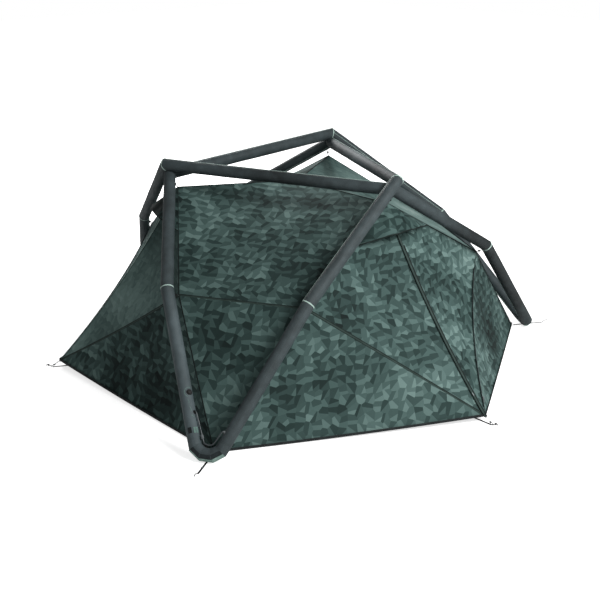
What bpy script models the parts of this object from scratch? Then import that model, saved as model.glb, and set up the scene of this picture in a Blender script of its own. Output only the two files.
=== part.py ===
# Inflatable tent on three feet. Lengths are metres and +Z is up.
# The origin is the middle of the plan, on the ground. The door bay faces -Y.
# Three alike arches of air-filled tube cross at three top nodes, and the fly hangs inside them.
import math

import bmesh
import bpy
import numpy as np
from mathutils import Matrix, Vector

# Tube frame
tube_diameter = 0.095
sleeve_wall = 0.0012
bladder_slack = 0.0012
bladder_press_slack = 0.0025
bladder_wall = 0.0006
top_node_radius = 1.066
top_node_height = 1.626
crossing_reach = 0.028
crossing_rise = 0.0726
crossing_clearance = 0.0035
over_bend_radius = 1.570
over_bend_height = 0.966
under_bend_radius = 1.575
under_bend_height = 0.975
over_bend_turn = math.radians(19.4)
under_bend_turn = math.radians(20.5)
foot_apex_radius = 2.268
foot_bend_radius = 0.1157
foot_sleeve_rise = 0.055
foot_clearance = 0.0015

# Foot straps and pegs
strap_width = 0.015
strap_thickness = 0.0012
strap_lift = 0.0006
foot_strap_start = 2.048
foot_strap_end = 2.335
bay_peg_radius = 2.092
peg_rod = 0.003
peg_rest_share = 0.2
peg_head_reach = 0.045
peg_head_rise = 0.026
peg_hook_drop = 0.014
peg_hook_reach = 0.012
loop_cord = 0.0015
loop_half_width = 0.008

# Fly
fly_thickness = 0.0015
top_hanger = 0.081
top_hanger_slope = math.radians(62.6)
bend_hanger = 0.047
bend_hanger_slope = math.radians(39.7)
fly_bend_turn = math.radians(18.96)
fly_corner_radius = 2.035
foot_corner_height = 0.004
bay_corner_height = 0.051
dome_centre_height = 0.45
ridge_sag = 0.060
seam_sag = 0.060
seam_gap = 0.0004
hanger_radius = 0.002
hanger_inset = 0.014

# Hood, door and zips
hood_reach_share = 0.43
hood_front_reach = 0.158
hood_front_rise = 0.072
door_corner_share = 0.55
door_gap = 0.0006
slider_length = 0.026
slider_width = 0.012
slider_height = 0.007
slider_tab_length = 0.032
slider_tab_width = 0.008
slider_tab_thickness = 0.0015
slider_inset = 0.012

# Groundsheet and inner tent
groundsheet_radius = 1.93
groundsheet_thickness = 0.0025
inner_wall = 0.0015
inner_top_radius = 0.80
inner_top_height = 1.33
inner_bend_radius = 1.30
inner_bend_height = 0.78
inner_corner_radius = 1.84
inner_front_reach = 0.92
inner_door_width = 1.00
inner_door_height = 0.80
inner_door_sill = 0.10

# Valve, hoses and clamps
valve_rise = 0.385
valve_turn = math.radians(50)
hose_high_turn = math.radians(68)
hose_low_turn = math.radians(58)
valve_flange_radius = 0.018
valve_flange_thickness = 0.0022
valve_neck_radius = 0.0125
valve_neck_depth = 0.020
valve_button_height = 0.004
valve_bore_radius = 0.0100
valve_stem_radius = 0.0030
valve_plunger_thickness = 0.0020
valve_cap_radius = 0.0165
valve_cap_thickness = 0.0050
valve_knuckle_width = 0.010
hose_radius = 0.0045
hose_bore_radius = 0.0030
hose_port_low = 0.120
hose_port_high = 0.240
hose_stand_off = 0.013
hose_lift = 0.012
hose_port_reach = 0.013
clamp_length = 0.030
clamp_width = 0.016
clamp_height = 0.013
lever_thickness = 0.003
lever_width = 0.012
bladder_split_rise = 0.135
bladder_split_gap = 0.012

fit_gap = 0.0003
cut_overrun = 0.004
merge_distance = 0.00001

# Counts
sleeve_sides = 20
bladder_sides = 12
hose_sides = 8
round_sides = 24
hole_sides = 16
core_sides = 12
hanger_sides = 6
foot_corners = 4
panel_cuts = 5
hood_rows = 3
arch_count = 3
press_rounds = 60
settle_rounds = 30
relax_rounds = 240
route_steps = 12
hose_stations = 30
loop_stations = 31
clamp_index = 13
clamp_core_stations = 6
rod_bevel_steps = 2

# Shares of the sizes that they follow
crossing_zone_shares = (0.14, 0.29, 0.46, 0.66, 0.9, 1.2, 1.55)
peg_foot_share = 1.6
peg_bow_share = 0.7
loop_end_share = 0.45
loop_turn_share = 0.6
loop_lane_shares = ((1, loop_end_share), (0.6, 0.8), (0.25, 1))

# Turning angles
third_turn = math.radians(120)
first_foot_azimuth = math.radians(-150)
smooth_angle = math.radians(35)
flat_angle = math.radians(0.5)

tube_radius = tube_diameter / 2
hood_stand_off = fly_thickness + fit_gap
foot_peg_radius = foot_strap_end + fit_gap - peg_rod * peg_rest_share
groundsheet_strap_end = bay_peg_radius - fit_gap + peg_rod * peg_rest_share
foot_names = ("front_left", "front_right", "back")
bay_names = ("front", "right", "left")


# Scene, collections and materials

def clear_scene():
    for item in list(bpy.data.objects):
        bpy.data.objects.remove(item, do_unlink=True)


def new_collection(name):
    group = bpy.data.collections.new(name)
    bpy.context.scene.collection.children.link(group)
    return group


clear_scene()
parts = new_collection("inflatable_tent")
cutters = new_collection("cutters")
cutters.hide_render = True


def paint(name, colour, roughness, metallic=0.0):
    found = bpy.data.materials.get(name)
    if found:
        return found
    material = bpy.data.materials.new(name)
    material.use_nodes = True
    shader = material.node_tree.nodes["Principled BSDF"]
    shader.inputs["Base Color"].default_value = (*colour, 1)
    shader.inputs["Roughness"].default_value = roughness
    shader.inputs["Metallic"].default_value = metallic
    material.diffuse_color = (*colour, 1)
    return material


sleeve_cloth = paint("sleeve cloth", (0.075, 0.085, 0.09), 0.75)
bladder_film = paint("bladder film", (0.62, 0.64, 0.62), 0.35)
fly_cloth = paint("printed fly cloth", (0.05, 0.10, 0.09), 0.7)
hood_cloth = paint("hood cloth", (0.09, 0.15, 0.14), 0.7)
floor_cloth = paint("coated floor cloth", (0.03, 0.035, 0.035), 0.6)
inner_cloth = paint("inner tent cloth", (0.45, 0.48, 0.47), 0.85)
black_plastic = paint("black plastic", (0.02, 0.02, 0.02), 0.45)
grey_plastic = paint("grey plastic", (0.30, 0.31, 0.32), 0.5)
hose_film = paint("hose", (0.16, 0.17, 0.17), 0.4)
peg_metal = paint("peg metal", (0.12, 0.12, 0.12), 0.4, 1.0)
cord_yarn = paint("cord", (0.22, 0.25, 0.25), 0.8)


# Points and directions

def polar(radius, azimuth, height):
    return np.array([radius * math.cos(azimuth), radius * math.sin(azimuth), height])


def unit(vector):
    return vector / np.linalg.norm(vector)


def turned(point, turns):
    """The point turned about the vertical axis by whole thirds of a circle."""
    angle = third_turn * turns
    cosine = math.cos(angle)
    sine = math.sin(angle)
    return np.array([
        cosine * point[0] - sine * point[1],
        sine * point[0] + cosine * point[1],
        point[2],
    ])


# Every station of the first arch, whose start foot is at first_foot_azimuth.
node_azimuth = first_foot_azimuth + third_turn / 2
over_node = polar(
    top_node_radius + crossing_reach / 2, node_azimuth, top_node_height + crossing_rise / 2)
under_node = polar(
    top_node_radius - crossing_reach / 2, node_azimuth + third_turn,
    top_node_height - crossing_rise / 2)
over_bend = polar(over_bend_radius, first_foot_azimuth + over_bend_turn, over_bend_height)
under_bend = polar(
    under_bend_radius, first_foot_azimuth + 2 * third_turn - under_bend_turn, under_bend_height)


class Foot:
    """The round bend that joins two lower legs on the ground at the first foot."""

    def __init__(self):
        self.over_bend = over_bend
        self.under_bend = turned(under_bend, 1)
        lift = 0.0
        for _ in range(settle_rounds):
            self.settle(polar(foot_apex_radius, first_foot_azimuth, lift))
            bottom = self.point(0, foot_bend_radius)
            lift += tube_radius + foot_clearance - bottom[2]
        self.settle(polar(foot_apex_radius, first_foot_azimuth, lift))

    def settle(self, apex):
        self.apex = apex
        self.over_leg = unit(self.over_bend - apex)
        self.under_leg = unit(self.under_bend - apex)
        self.up = unit(self.over_leg + self.under_leg)
        self.half = math.acos(float(self.over_leg @ self.under_leg)) / 2
        self.out = unit(np.cross(self.over_leg, self.under_leg))
        if self.out[2] < 0:
            self.out = -self.out
        self.across = unit(self.over_leg - self.under_leg)
        self.centre = apex + self.up * foot_bend_radius / math.sin(self.half)
        self.sweep = math.pi / 2 - self.half

    def point(self, angle, radius):
        """A point of the bend's plane, at an angle from straight down the plane."""
        return self.centre + radius * (math.sin(angle) * self.across - math.cos(angle) * self.up)

    def corners(self):
        step = 2 * self.sweep / foot_corners
        reach = foot_bend_radius / math.cos(step / 2)
        angles = [-self.sweep + step * (k + 0.5) for k in range(foot_corners)]
        return [self.point(angle, reach) for angle in angles]

    def on_leg(self, side, rise):
        """A point on a leg's axis, measured up the leg from the bend's last corner."""
        corner = self.corners()[-1 if side == "over" else 0]
        leg = self.over_leg if side == "over" else self.under_leg
        return corner + leg * rise


foot = Foot()


# Loft tools

def mesh_object(name, vertices, faces, material):
    mesh = bpy.data.meshes.new(name)
    mesh.from_pydata([tuple(map(float, v)) for v in vertices], [], faces)
    shape = bmesh.new()
    shape.from_mesh(mesh)
    bmesh.ops.recalc_face_normals(shape, faces=shape.faces)
    if shape.calc_volume(signed=True) < 0:
        bmesh.ops.reverse_faces(shape, faces=shape.faces)
    shape.to_mesh(mesh)
    shape.free()
    mesh.shade_smooth()
    mesh.set_sharp_from_angle(angle=smooth_angle)
    mesh.materials.append(material)
    item = bpy.data.objects.new(name, mesh)
    parts.objects.link(item)
    return item


def ring_rows(path, radius, sides, planes, phase_axis):
    """Rings of a round tube along a path, mitred at each corner where no plane is given."""
    steps = [unit(b - a) for a, b in zip(path, path[1:])]
    normals = [steps[0]]
    for before, after in zip(steps, steps[1:]):
        normals.append(unit(before + after))
    normals.append(steps[-1])
    if planes:
        normals = [own if own is not None else plain for own, plain in zip(planes, normals)]
    side = unit(phase_axis - steps[0] * float(phase_axis @ steps[0]))
    other = np.cross(steps[0], side)
    turns = [2 * math.pi * k / sides for k in range(sides)]
    start = [path[0] + radius * (math.cos(t) * side + math.sin(t) * other) for t in turns]
    rows = []
    current = start
    for index, (station, normal) in enumerate(zip(path, normals)):
        step = steps[max(index - 1, 0)]
        row = []
        for point in current:
            shift = float((station - point) @ normal) / float(step @ normal)
            row.append(point + step * shift)
        rows.append(row)
        current = row
    return rows


def tube_shell(name, path, radius, wall, sides, material, planes=None, phase_axis=None,
               press=None):
    """A round tube with a wall and two open ends."""
    if phase_axis is None:
        phase_axis = np.array([0.0, 0.0, 1.0])
    vertices = []
    for size in (radius, radius - wall):
        rows = ring_rows(path, size, sides, planes, phase_axis)
        for row in rows:
            for point in row:
                vertices.append(press(point, tube_radius - size) if press else point)
    count = len(path)
    faces = []
    for layer in (0, 1):
        base = layer * count * sides
        for i in range(count - 1):
            for k in range(sides):
                a = base + i * sides + k
                b = base + i * sides + (k + 1) % sides
                faces.append((a, b, b + sides, a + sides))
    for end in (0, count - 1):
        for k in range(sides):
            a = end * sides + k
            b = end * sides + (k + 1) % sides
            faces.append((a, b, b + count * sides, a + count * sides))
    return mesh_object(name, vertices, faces, material)


def nearest_on_path(point, path):
    best = None
    for a, b in zip(path, path[1:]):
        span = b - a
        share = min(1.0, max(0.0, float((point - a) @ span) / float(span @ span)))
        near = a + span * share
        gap = np.linalg.norm(point - near)
        if best is None or gap < best[0]:
            best = (gap, near)
    return best


# The strand that passes over the first arch's under node belongs to the next arch.
upper_strand = [turned(over_bend, 1), turned(over_node, 1), turned(under_node, 1)]
press_plane = unit(unit(under_node - over_node) + unit(under_bend - under_node))


def press_under(point, depth):
    """The under tube's skin, pressed in where the over tube lies on it."""
    clear = tube_radius + crossing_clearance + depth
    for _ in range(press_rounds):
        gap, near = nearest_on_path(point, upper_strand)
        if gap >= clear:
            break
        away = (point - near) / gap
        away = unit(away - press_plane * float(away @ press_plane))
        point = point + away * (clear - gap + fit_gap / press_rounds)
    return point


def split_end(start, end, normal):
    """Moves a tube's end back from the joint plane by half the gap."""
    step = unit(end - start)
    return start + step * fit_gap / 2 / abs(float(step @ normal))


def dent_stations(node, bend_side):
    """Extra stations beside the under node, close enough to carry the dent."""
    step = unit(bend_side - node)
    return [node + step * tube_diameter * share for share in crossing_zone_shares]


# Sleeves

def sleeve(name, path, planes, press=None):
    return tube_shell(
        name, path, tube_radius, sleeve_wall, sleeve_sides, sleeve_cloth, planes, press=press)


def leg_way(side):
    return foot.over_leg if side == "over" else foot.under_leg


def over_lower_leg(name):
    joint = unit(unit(over_bend - foot.apex) + unit(over_node - over_bend))
    start = foot.on_leg("over", foot_sleeve_rise)
    path = [
        split_end(start, over_bend, leg_way("over")),
        split_end(over_bend, start, joint),
    ]
    return sleeve(name, path, [None, joint])


def over_upper_leg(name):
    low = unit(unit(over_bend - foot.apex) + unit(over_node - over_bend))
    high = unit(unit(over_node - over_bend) + unit(under_node - over_node))
    path = [split_end(over_bend, over_node, low), split_end(over_node, over_bend, high)]
    return sleeve(name, path, [low, high])


def top_bar(name):
    near = unit(unit(over_node - over_bend) + unit(under_node - over_node))
    far = unit(unit(under_node - over_node) + unit(under_bend - under_node))
    dents = dent_stations(under_node, over_node)[::-1]
    path = [
        split_end(over_node, under_node, near), *dents, split_end(under_node, over_node, far),
    ]
    return sleeve(name, path, [near, *[press_plane] * len(dents), far], press_under)


def under_upper_leg(name):
    end_apex = turned(foot.apex, 2)
    low = unit(unit(under_bend - under_node) + unit(end_apex - under_bend))
    dents = dent_stations(under_node, under_bend)
    path = [
        split_end(under_node, under_bend, press_plane), *dents,
        split_end(under_bend, under_node, low),
    ]
    return sleeve(name, path, [press_plane, *[press_plane] * len(dents), low], press_under)


def under_lower_leg(name):
    """Made at the first foot, where the valve and the hose are."""
    bend = foot.under_bend
    above = turned(under_node, 1)
    joint = unit(unit(bend - foot.apex) + unit(above - bend))
    start = foot.on_leg("under", foot_sleeve_rise)
    path = [split_end(start, bend, leg_way("under")), split_end(bend, start, joint)]
    return sleeve(name, path, [None, joint])


def foot_sleeve(name):
    start = foot.on_leg("under", foot_sleeve_rise)
    end = foot.on_leg("over", foot_sleeve_rise)
    corners = foot.corners()
    path = [split_end(start, corners[0], leg_way("under")), *corners,
            split_end(end, corners[-1], leg_way("over"))]
    angle = math.atan2(float(foot.out[2]), float(foot.up[2]))
    step = unit(corners[0] - start)
    inner = unit(np.cross(foot.out, step))
    if float(inner @ foot.across) > 0:
        inner = -inner
    phase_axis = math.cos(angle) * inner - math.sin(angle) * foot.out
    shell = tube_shell(
        name, path, tube_radius, sleeve_wall, sleeve_sides, sleeve_cloth, phase_axis=phase_axis)
    outward = Vector(polar(1, first_foot_azimuth, 0))
    length = foot_strap_end - foot_strap_start
    middle = (foot_strap_end + foot_strap_start) / 2
    strap = box_mesh("foot_strap_blank", (length, strap_width, strap_thickness + foot_clearance))
    turn = Matrix.Rotation(first_foot_azimuth, 4, "Z")
    height = strap_lift + (strap_thickness + foot_clearance) / 2
    strap.data.transform(Matrix.Translation(outward * middle + Vector((0, 0, height))) @ turn)
    return join_solids(shell, strap)


# Solids from primitives

def box_mesh(name, size, material=None):
    mesh = bpy.data.meshes.new(name)
    shape = bmesh.new()
    bmesh.ops.create_cube(shape, size=1)
    bmesh.ops.scale(shape, vec=size, verts=shape.verts)
    shape.to_mesh(mesh)
    shape.free()
    if material:
        mesh.materials.append(material)
    item = bpy.data.objects.new(name, mesh)
    parts.objects.link(item)
    return item


def rod_mesh(name, radius, length, sides=round_sides, material=None):
    mesh = bpy.data.meshes.new(name)
    shape = bmesh.new()
    bmesh.ops.create_cone(
        shape, cap_ends=True, segments=sides, radius1=radius, radius2=radius, depth=length)
    shape.to_mesh(mesh)
    shape.free()
    mesh.shade_smooth()
    mesh.set_sharp_from_angle(angle=smooth_angle)
    if material:
        mesh.materials.append(material)
    item = bpy.data.objects.new(name, mesh)
    parts.objects.link(item)
    return item


def bake(item):
    """The object's mesh as the viewport evaluates it, with its modifiers applied."""
    graph = bpy.context.evaluated_depsgraph_get()
    mesh = bpy.data.meshes.new_from_object(item.evaluated_get(graph))
    item.modifiers.clear()
    item.data = mesh
    return item


def boolean(item, other, operation):
    step = item.modifiers.new(operation.lower(), "BOOLEAN")
    step.operation = operation
    step.object = other
    bpy.context.view_layer.update()
    bake(item)
    bpy.data.objects.remove(other, do_unlink=True)
    item.data.shade_smooth()
    item.data.set_sharp_from_angle(angle=smooth_angle)
    return item


def join_solids(item, other):
    return boolean(item, other, "UNION")


def cut(item, cutter):
    return boolean(item, cutter, "DIFFERENCE")


def frame_matrix(origin, x_axis, z_axis):
    """A placing matrix from an origin, an x direction and the z direction it is squared to."""
    z = Vector(unit(z_axis))
    x = Vector(x_axis)
    x = (x - z * x.dot(z)).normalized()
    y = z.cross(x)
    matrix = Matrix((x, y, z)).transposed().to_4x4()
    matrix.translation = Vector(origin)
    return matrix


# Bladders

def press_bladder(point, depth):
    return press_under(point, depth + bladder_press_slack)


def bladder(name):
    radius = tube_radius - sleeve_wall - bladder_slack
    start = foot.on_leg("under", bladder_split_rise - bladder_split_gap / 2)
    end = turned(foot.on_leg("under", bladder_split_rise + bladder_split_gap / 2), 2)
    first = [start, *foot.corners(), over_bend, over_node]
    near = dent_stations(under_node, over_node)[::-1]
    far = dent_stations(under_node, under_bend)
    path = [*first, *near, under_node, *far, under_bend, end]
    pressed = len(near) + 1 + len(far)
    planes = [None] * len(first) + [press_plane] * pressed + [None, None]
    return tube_shell(
        name, path, radius, bladder_wall, bladder_sides, bladder_film, planes,
        press=press_bladder)


# Valve and hose places, all on the first foot

def leg_skin(side, rise, turn, depth=0.0):
    """A point on a lower leg's skin and the way it faces, turned from the outer face to the inner."""
    inward = foot.across if side == "under" else -foot.across
    leg = leg_way(side)
    inward = unit(inward - leg * float(inward @ leg))
    facing = math.cos(turn) * foot.out + math.sin(turn) * inward
    return foot.on_leg(side, rise) + facing * (tube_radius - depth), facing


valve_place, valve_facing = leg_skin("under", valve_rise, valve_turn)
high_port, high_facing = leg_skin("under", hose_port_high, hose_high_turn)
low_port, low_facing = leg_skin("over", hose_port_low, hose_low_turn)


def hole_cutter(place, facing, radius):
    depth = tube_radius
    rod = rod_mesh("hole_cutter", radius, depth, hole_sides)
    rod.data.transform(frame_matrix(place - facing * depth / 4, leg_way("under"), facing))
    cutters.objects.link(rod)
    parts.objects.unlink(rod)
    rod.display_type = "WIRE"
    rod.hide_render = True
    return rod


def valve_matrix():
    return frame_matrix(valve_place, foot.under_leg, valve_facing)


def turned_profile(name, profile, material, matrix, steps=round_sides):
    """A closed profile of (radius, height) pairs, spun about the z axis by a Screw modifier."""
    mesh = bpy.data.meshes.new(name)
    edges = [(k, (k + 1) % len(profile)) for k in range(len(profile))]
    mesh.from_pydata([(r, 0, z) for r, z in profile], edges, [])
    item = bpy.data.objects.new(name, mesh)
    parts.objects.link(item)
    spin = item.modifiers.new("spin", "SCREW")
    spin.steps = steps
    spin.render_steps = steps
    spin.use_merge_vertices = True
    spin.merge_threshold = merge_distance
    spin.use_normal_calculate = True
    bpy.context.view_layer.update()
    bake(item)
    shape = bmesh.new()
    shape.from_mesh(item.data)
    bmesh.ops.remove_doubles(shape, verts=shape.verts, dist=merge_distance)
    bmesh.ops.recalc_face_normals(shape, faces=shape.faces)
    if shape.calc_volume(signed=True) < 0:
        bmesh.ops.reverse_faces(shape, faces=shape.faces)
    shape.to_mesh(item.data)
    shape.free()
    item.data.shade_smooth()
    item.data.set_sharp_from_angle(angle=smooth_angle)
    item.data.materials.append(material)
    item.matrix_world = matrix
    return item


def valve_base():
    profile = [
        (valve_bore_radius, valve_flange_thickness + fit_gap),
        (valve_flange_radius, valve_flange_thickness + fit_gap),
        (valve_flange_radius, fit_gap),
        (valve_neck_radius, fit_gap),
        (valve_neck_radius, -valve_neck_depth),
        (valve_bore_radius, -valve_neck_depth),
    ]
    return turned_profile("valve_base", profile, black_plastic, valve_matrix())


def valve_stem():
    low = -valve_neck_depth
    wide = valve_bore_radius - fit_gap
    top = low + valve_plunger_thickness + valve_button_height
    profile = [
        (0, top), (valve_stem_radius, top), (valve_stem_radius, low + valve_plunger_thickness),
        (wide, low + valve_plunger_thickness), (wide, low), (0, low),
    ]
    return turned_profile("valve_stem", profile, grey_plastic, valve_matrix())


def valve_cap():
    low = valve_flange_thickness + 2 * fit_gap
    disc = rod_mesh(
        "valve_cap", valve_cap_radius, valve_cap_thickness, round_sides, black_plastic)
    disc.data.transform(Matrix.Translation((0, 0, low + valve_cap_thickness / 2)))
    knuckle = box_mesh(
        "valve_knuckle", (valve_knuckle_width, valve_flange_radius, valve_cap_thickness))
    side = valve_cap_radius + valve_cap_thickness / 2 - valve_flange_radius / 2
    knuckle.data.transform(Matrix.Translation((0, -side, low + valve_cap_thickness / 2)))
    cap = join_solids(disc, knuckle)
    hinge = Vector((0, -valve_cap_radius - valve_cap_thickness / 2, low))
    cap.data.transform(Matrix.Translation(-hinge))
    cap.matrix_world = valve_matrix() @ Matrix.Translation(hinge)
    return cap


def smooth_route(points, count):
    """Even points on a Catmull-Rom curve through a route."""
    route = [2 * points[0] - points[1], *points, 2 * points[-1] - points[-2]]
    fine = []
    for a, b, c, d in zip(route, route[1:], route[2:], route[3:]):
        for k in range(route_steps):
            t = k / route_steps
            fine.append(0.5 * (
                2 * b + (c - a) * t + (2 * a - 5 * b + 4 * c - d) * t ** 2
                + (3 * b - a - 3 * c + d) * t ** 3))
    fine.append(points[-1])
    lengths = [0.0]
    for a, b in zip(fine, fine[1:]):
        lengths.append(lengths[-1] + np.linalg.norm(b - a))
    wanted = np.linspace(0, lengths[-1], count)
    stack = np.array(fine)
    return [np.array([np.interp(w, lengths, stack[:, axis]) for axis in range(3)]) for w in wanted]


def hose_route():
    """From the high port down inside the bend and up to the low port."""
    inner = foot_bend_radius - tube_radius - hose_radius - hose_stand_off
    step = foot.sweep / 3
    turns = (-2 * step, -step, 0, step, 2 * step)
    arc = [foot.point(angle, inner) + foot.out * hose_lift for angle in turns]
    high_out = high_port + high_facing * hose_port_reach
    low_out = low_port + low_facing * hose_port_reach
    high_mid = (high_out + arc[0]) / 2
    return [
        high_port + high_facing * fit_gap, high_out - foot.under_leg * hose_port_reach / 2,
        high_mid, *arc, low_out - foot.over_leg * hose_port_reach / 2,
        low_port + low_facing * fit_gap,
    ]


hose_points = smooth_route(hose_route(), hose_stations)


def hose(name):
    planes = [high_facing, *[None] * (len(hose_points) - 2), -low_facing]
    return tube_shell(
        name, hose_points, hose_radius, hose_radius - hose_bore_radius, hose_sides, hose_film,
        planes, foot.out)


def clamp_matrix():
    along = unit(hose_points[clamp_index + 1] - hose_points[clamp_index - 1])
    return frame_matrix(hose_points[clamp_index], along, foot.out)


def clamp_body(name):
    body = box_mesh(name, (clamp_length, clamp_width, clamp_height), grey_plastic)
    body.data.transform(clamp_matrix())
    low = clamp_index - clamp_core_stations
    high = clamp_index + clamp_core_stations + 1
    core = solid_tube("core", hose_points[low:high], hose_radius + fit_gap)
    return cut(body, core)


def solid_tube(name, path, radius, sides=core_sides):
    rows = ring_rows(path, radius, sides, None, foot.out)
    vertices = [point for row in rows for point in row]
    faces = []
    for i in range(len(path) - 1):
        for k in range(sides):
            a = i * sides + k
            b = i * sides + (k + 1) % sides
            faces.append((a, b, b + sides, a + sides))
    faces.append(tuple(range(sides)))
    faces.append(tuple(range((len(path) - 1) * sides, len(path) * sides)))
    return mesh_object(name, vertices, faces, black_plastic)


def clamp_lever(name):
    lever = box_mesh(name, (clamp_length, lever_width, lever_thickness), black_plastic)
    rise = clamp_height / 2 + fit_gap + lever_thickness / 2
    hinge = Vector((-clamp_length / 2, 0, rise))
    lever.data.transform(Matrix.Translation(Vector((0, 0, rise)) - hinge))
    lever.matrix_world = clamp_matrix() @ Matrix.Translation(hinge)
    return lever


# Fly

dome_centre = np.array([0.0, 0.0, dome_centre_height])


def fly_top(bay):
    azimuth = node_azimuth + third_turn * bay
    reach = tube_radius + top_hanger
    radius = top_node_radius - crossing_reach / 2 - reach * math.cos(top_hanger_slope)
    height = top_node_height - crossing_rise / 2 - reach * math.sin(top_hanger_slope)
    return polar(radius, azimuth, height)


def fly_bend(foot_index, side):
    """Side +1 is the bend on the foot's way round to the next bay, -1 the one before."""
    azimuth = first_foot_azimuth + third_turn * foot_index + side * fly_bend_turn
    reach = tube_radius + bend_hanger
    radius = over_bend_radius - reach * math.cos(bend_hanger_slope)
    height = over_bend_height - reach * math.sin(bend_hanger_slope)
    return polar(radius, azimuth, height)


def fly_foot_corner(foot_index):
    azimuth = first_foot_azimuth + third_turn * foot_index
    return polar(fly_corner_radius, azimuth, foot_corner_height)


def fly_bay_corner(bay):
    azimuth = node_azimuth + third_turn * bay
    return polar(fly_corner_radius, azimuth, bay_corner_height)


def edge_points(start, end, sag, cuts=panel_cuts):
    """Points of a seam that is drawn in towards the middle of the tent."""
    middle = (start + end) / 2
    inward = unit(dome_centre - middle)
    shares = [k / cuts for k in range(cuts + 1)]
    return [start + (end - start) * t + inward * sag * 4 * t * (1 - t) for t in shares]


def hem_points(foot_corner, bay_corner, cuts=panel_cuts):
    """The hem lies on the ground from the foot and lifts towards the bay corner."""
    points = []
    for k in range(cuts + 1):
        t = k / cuts
        point = foot_corner + (bay_corner - foot_corner) * t
        point[2] = foot_corner[2] + (bay_corner[2] - foot_corner[2]) * t ** 2
        points.append(point)
    return points


def relax(grid, fixed, neighbours):
    for _ in range(relax_rounds):
        moved = {}
        for key, around in neighbours.items():
            if key not in fixed:
                moved[key] = sum(grid[other] for other in around) / len(around)
        grid.update(moved)
    return grid


def triangle_patch(left, right, base):
    """A three-sided net. left and right start at the top; base runs from left's end to right's."""
    n = len(base) - 1
    grid = {}
    for row in range(n + 1):
        for k in range(row + 1):
            share = k / row if row else 0
            grid[(row, k)] = left[row] + (right[row] - left[row]) * share
    for k in range(n + 1):
        grid[(n, k)] = base[k]
    fixed = {key for key in grid if key[1] == 0 or key[1] == key[0] or key[0] == n}
    around = {}
    for row, k in grid:
        near = [(row, k - 1), (row, k + 1), (row - 1, k - 1), (row - 1, k), (row + 1, k),
                (row + 1, k + 1)]
        around[(row, k)] = [key for key in near if key in grid]
    grid = relax(grid, fixed, around)
    faces = []
    for row in range(n):
        for k in range(row + 1):
            faces.append(((row, k), (row + 1, k), (row + 1, k + 1)))
            if k < row:
                faces.append(((row, k), (row + 1, k + 1), (row, k + 1)))
    rim = [(row, 0) for row in range(n + 1)]
    rim += [(n, k) for k in range(1, n + 1)]
    rim += [(row, row) for row in range(n - 1, 0, -1)]
    return grid, faces, rim


def two_triangles(a, b, c, d):
    """A bent quad split the same way on both skins of a cloth, so that they stay parallel."""
    return [(a, b, c), (a, c, d)]


def quad_patch(top, bottom, left, right):
    """A four-sided net. top and bottom run left to right, left and right run top to bottom."""
    across = len(top) - 1
    down = len(left) - 1
    grid = {}
    for i in range(down + 1):
        for k in range(across + 1):
            grid[(i, k)] = left[i] + (right[i] - left[i]) * (k / across)
    for k in range(across + 1):
        grid[(0, k)] = top[k]
        grid[(down, k)] = bottom[k]
    fixed = {key for key in grid if key[0] in (0, down) or key[1] in (0, across)}
    around = {}
    for i, k in grid:
        near = [(i - 1, k), (i + 1, k), (i, k - 1), (i, k + 1)]
        around[(i, k)] = [key for key in near if key in grid]
    grid = relax(grid, fixed, around)
    faces = []
    for i in range(down):
        for k in range(across):
            faces += two_triangles((i, k), (i + 1, k), (i + 1, k + 1), (i, k + 1))
    rim = [(i, 0) for i in range(down + 1)]
    rim += [(down, k) for k in range(1, across + 1)]
    rim += [(i, across) for i in range(down - 1, -1, -1)]
    rim += [(0, k) for k in range(across - 1, 0, -1)]
    return grid, faces, rim


def cloth_solid(name, patch, material, gap=seam_gap):
    """A patch given its thickness towards the dome's centre, a seam gap inside its rim."""
    grid, faces, rim = patch
    middle = sum(grid.values()) / len(grid)
    outer = {}
    for key, point in grid.items():
        outer[key] = point
    for key in rim:
        outer[key] = grid[key] + unit(middle - grid[key]) * gap
    keys = list(grid)
    place = {key: index for index, key in enumerate(keys)}
    skin = [outer[key] for key in keys]
    under = [p + unit(dome_centre - p) * fly_thickness for p in skin]
    count = len(keys)
    solid_faces = [tuple(place[key] for key in face) for face in faces]
    solid_faces += [tuple(count + place[key] for key in reversed(face)) for face in faces]
    for a, b in zip(rim, rim[1:] + rim[:1]):
        solid_faces.append((place[b], place[a], count + place[a], count + place[b]))
    return mesh_object(name, skin + under, solid_faces, material)


def joined_patches(first, second, shared_first, shared_second):
    """Two patches as one net, sewn along an edge that both hold."""
    grid = {("a", *key): point for key, point in first[0].items()}
    rename = {b: a for a, b in zip(shared_first, shared_second)}

    def second_key(key):
        return ("a", *rename[key]) if key in rename else ("b", *key)

    for key, point in second[0].items():
        grid.setdefault(second_key(key), point)
    faces = [tuple(("a", *key) for key in face) for face in first[1]]
    faces += [tuple(second_key(key) for key in face) for face in second[1]]
    edges = {}
    for face in faces:
        for a, b in zip(face, face[1:] + face[:1]):
            edges[(a, b)] = True
    after = {a: b for a, b in edges if (b, a) not in edges}
    start = next(iter(after))
    rim = [start]
    while after[rim[-1]] != start:
        rim.append(after[rim[-1]])
    return grid, faces, rim


def straight(start, end, cuts=panel_cuts):
    return edge_points(start, end, 0.0, cuts)


def hanger(item, anchor, path):
    """A sewn cord loop from a panel's corner to the tube that carries it."""
    gap, near = nearest_on_path(anchor, path)
    away = unit(near - anchor)
    root = anchor - away * fly_thickness / 2
    tip = near - away * (tube_radius + fit_gap)
    length = float(np.linalg.norm(tip - root))
    rod = rod_mesh("hanger", hanger_radius, length, hanger_sides)
    rod.data.transform(frame_matrix((root + tip) / 2, np.array([0.0, 0.0, 1.0]), away))
    return join_solids(item, rod)


def hanger_root(corner, first_neighbour, second_neighbour):
    """A place on the cloth a little way in from a corner between two straight edges."""
    inward = unit(first_neighbour - corner) + unit(second_neighbour - corner)
    return corner + unit(inward) * hanger_inset


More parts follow.
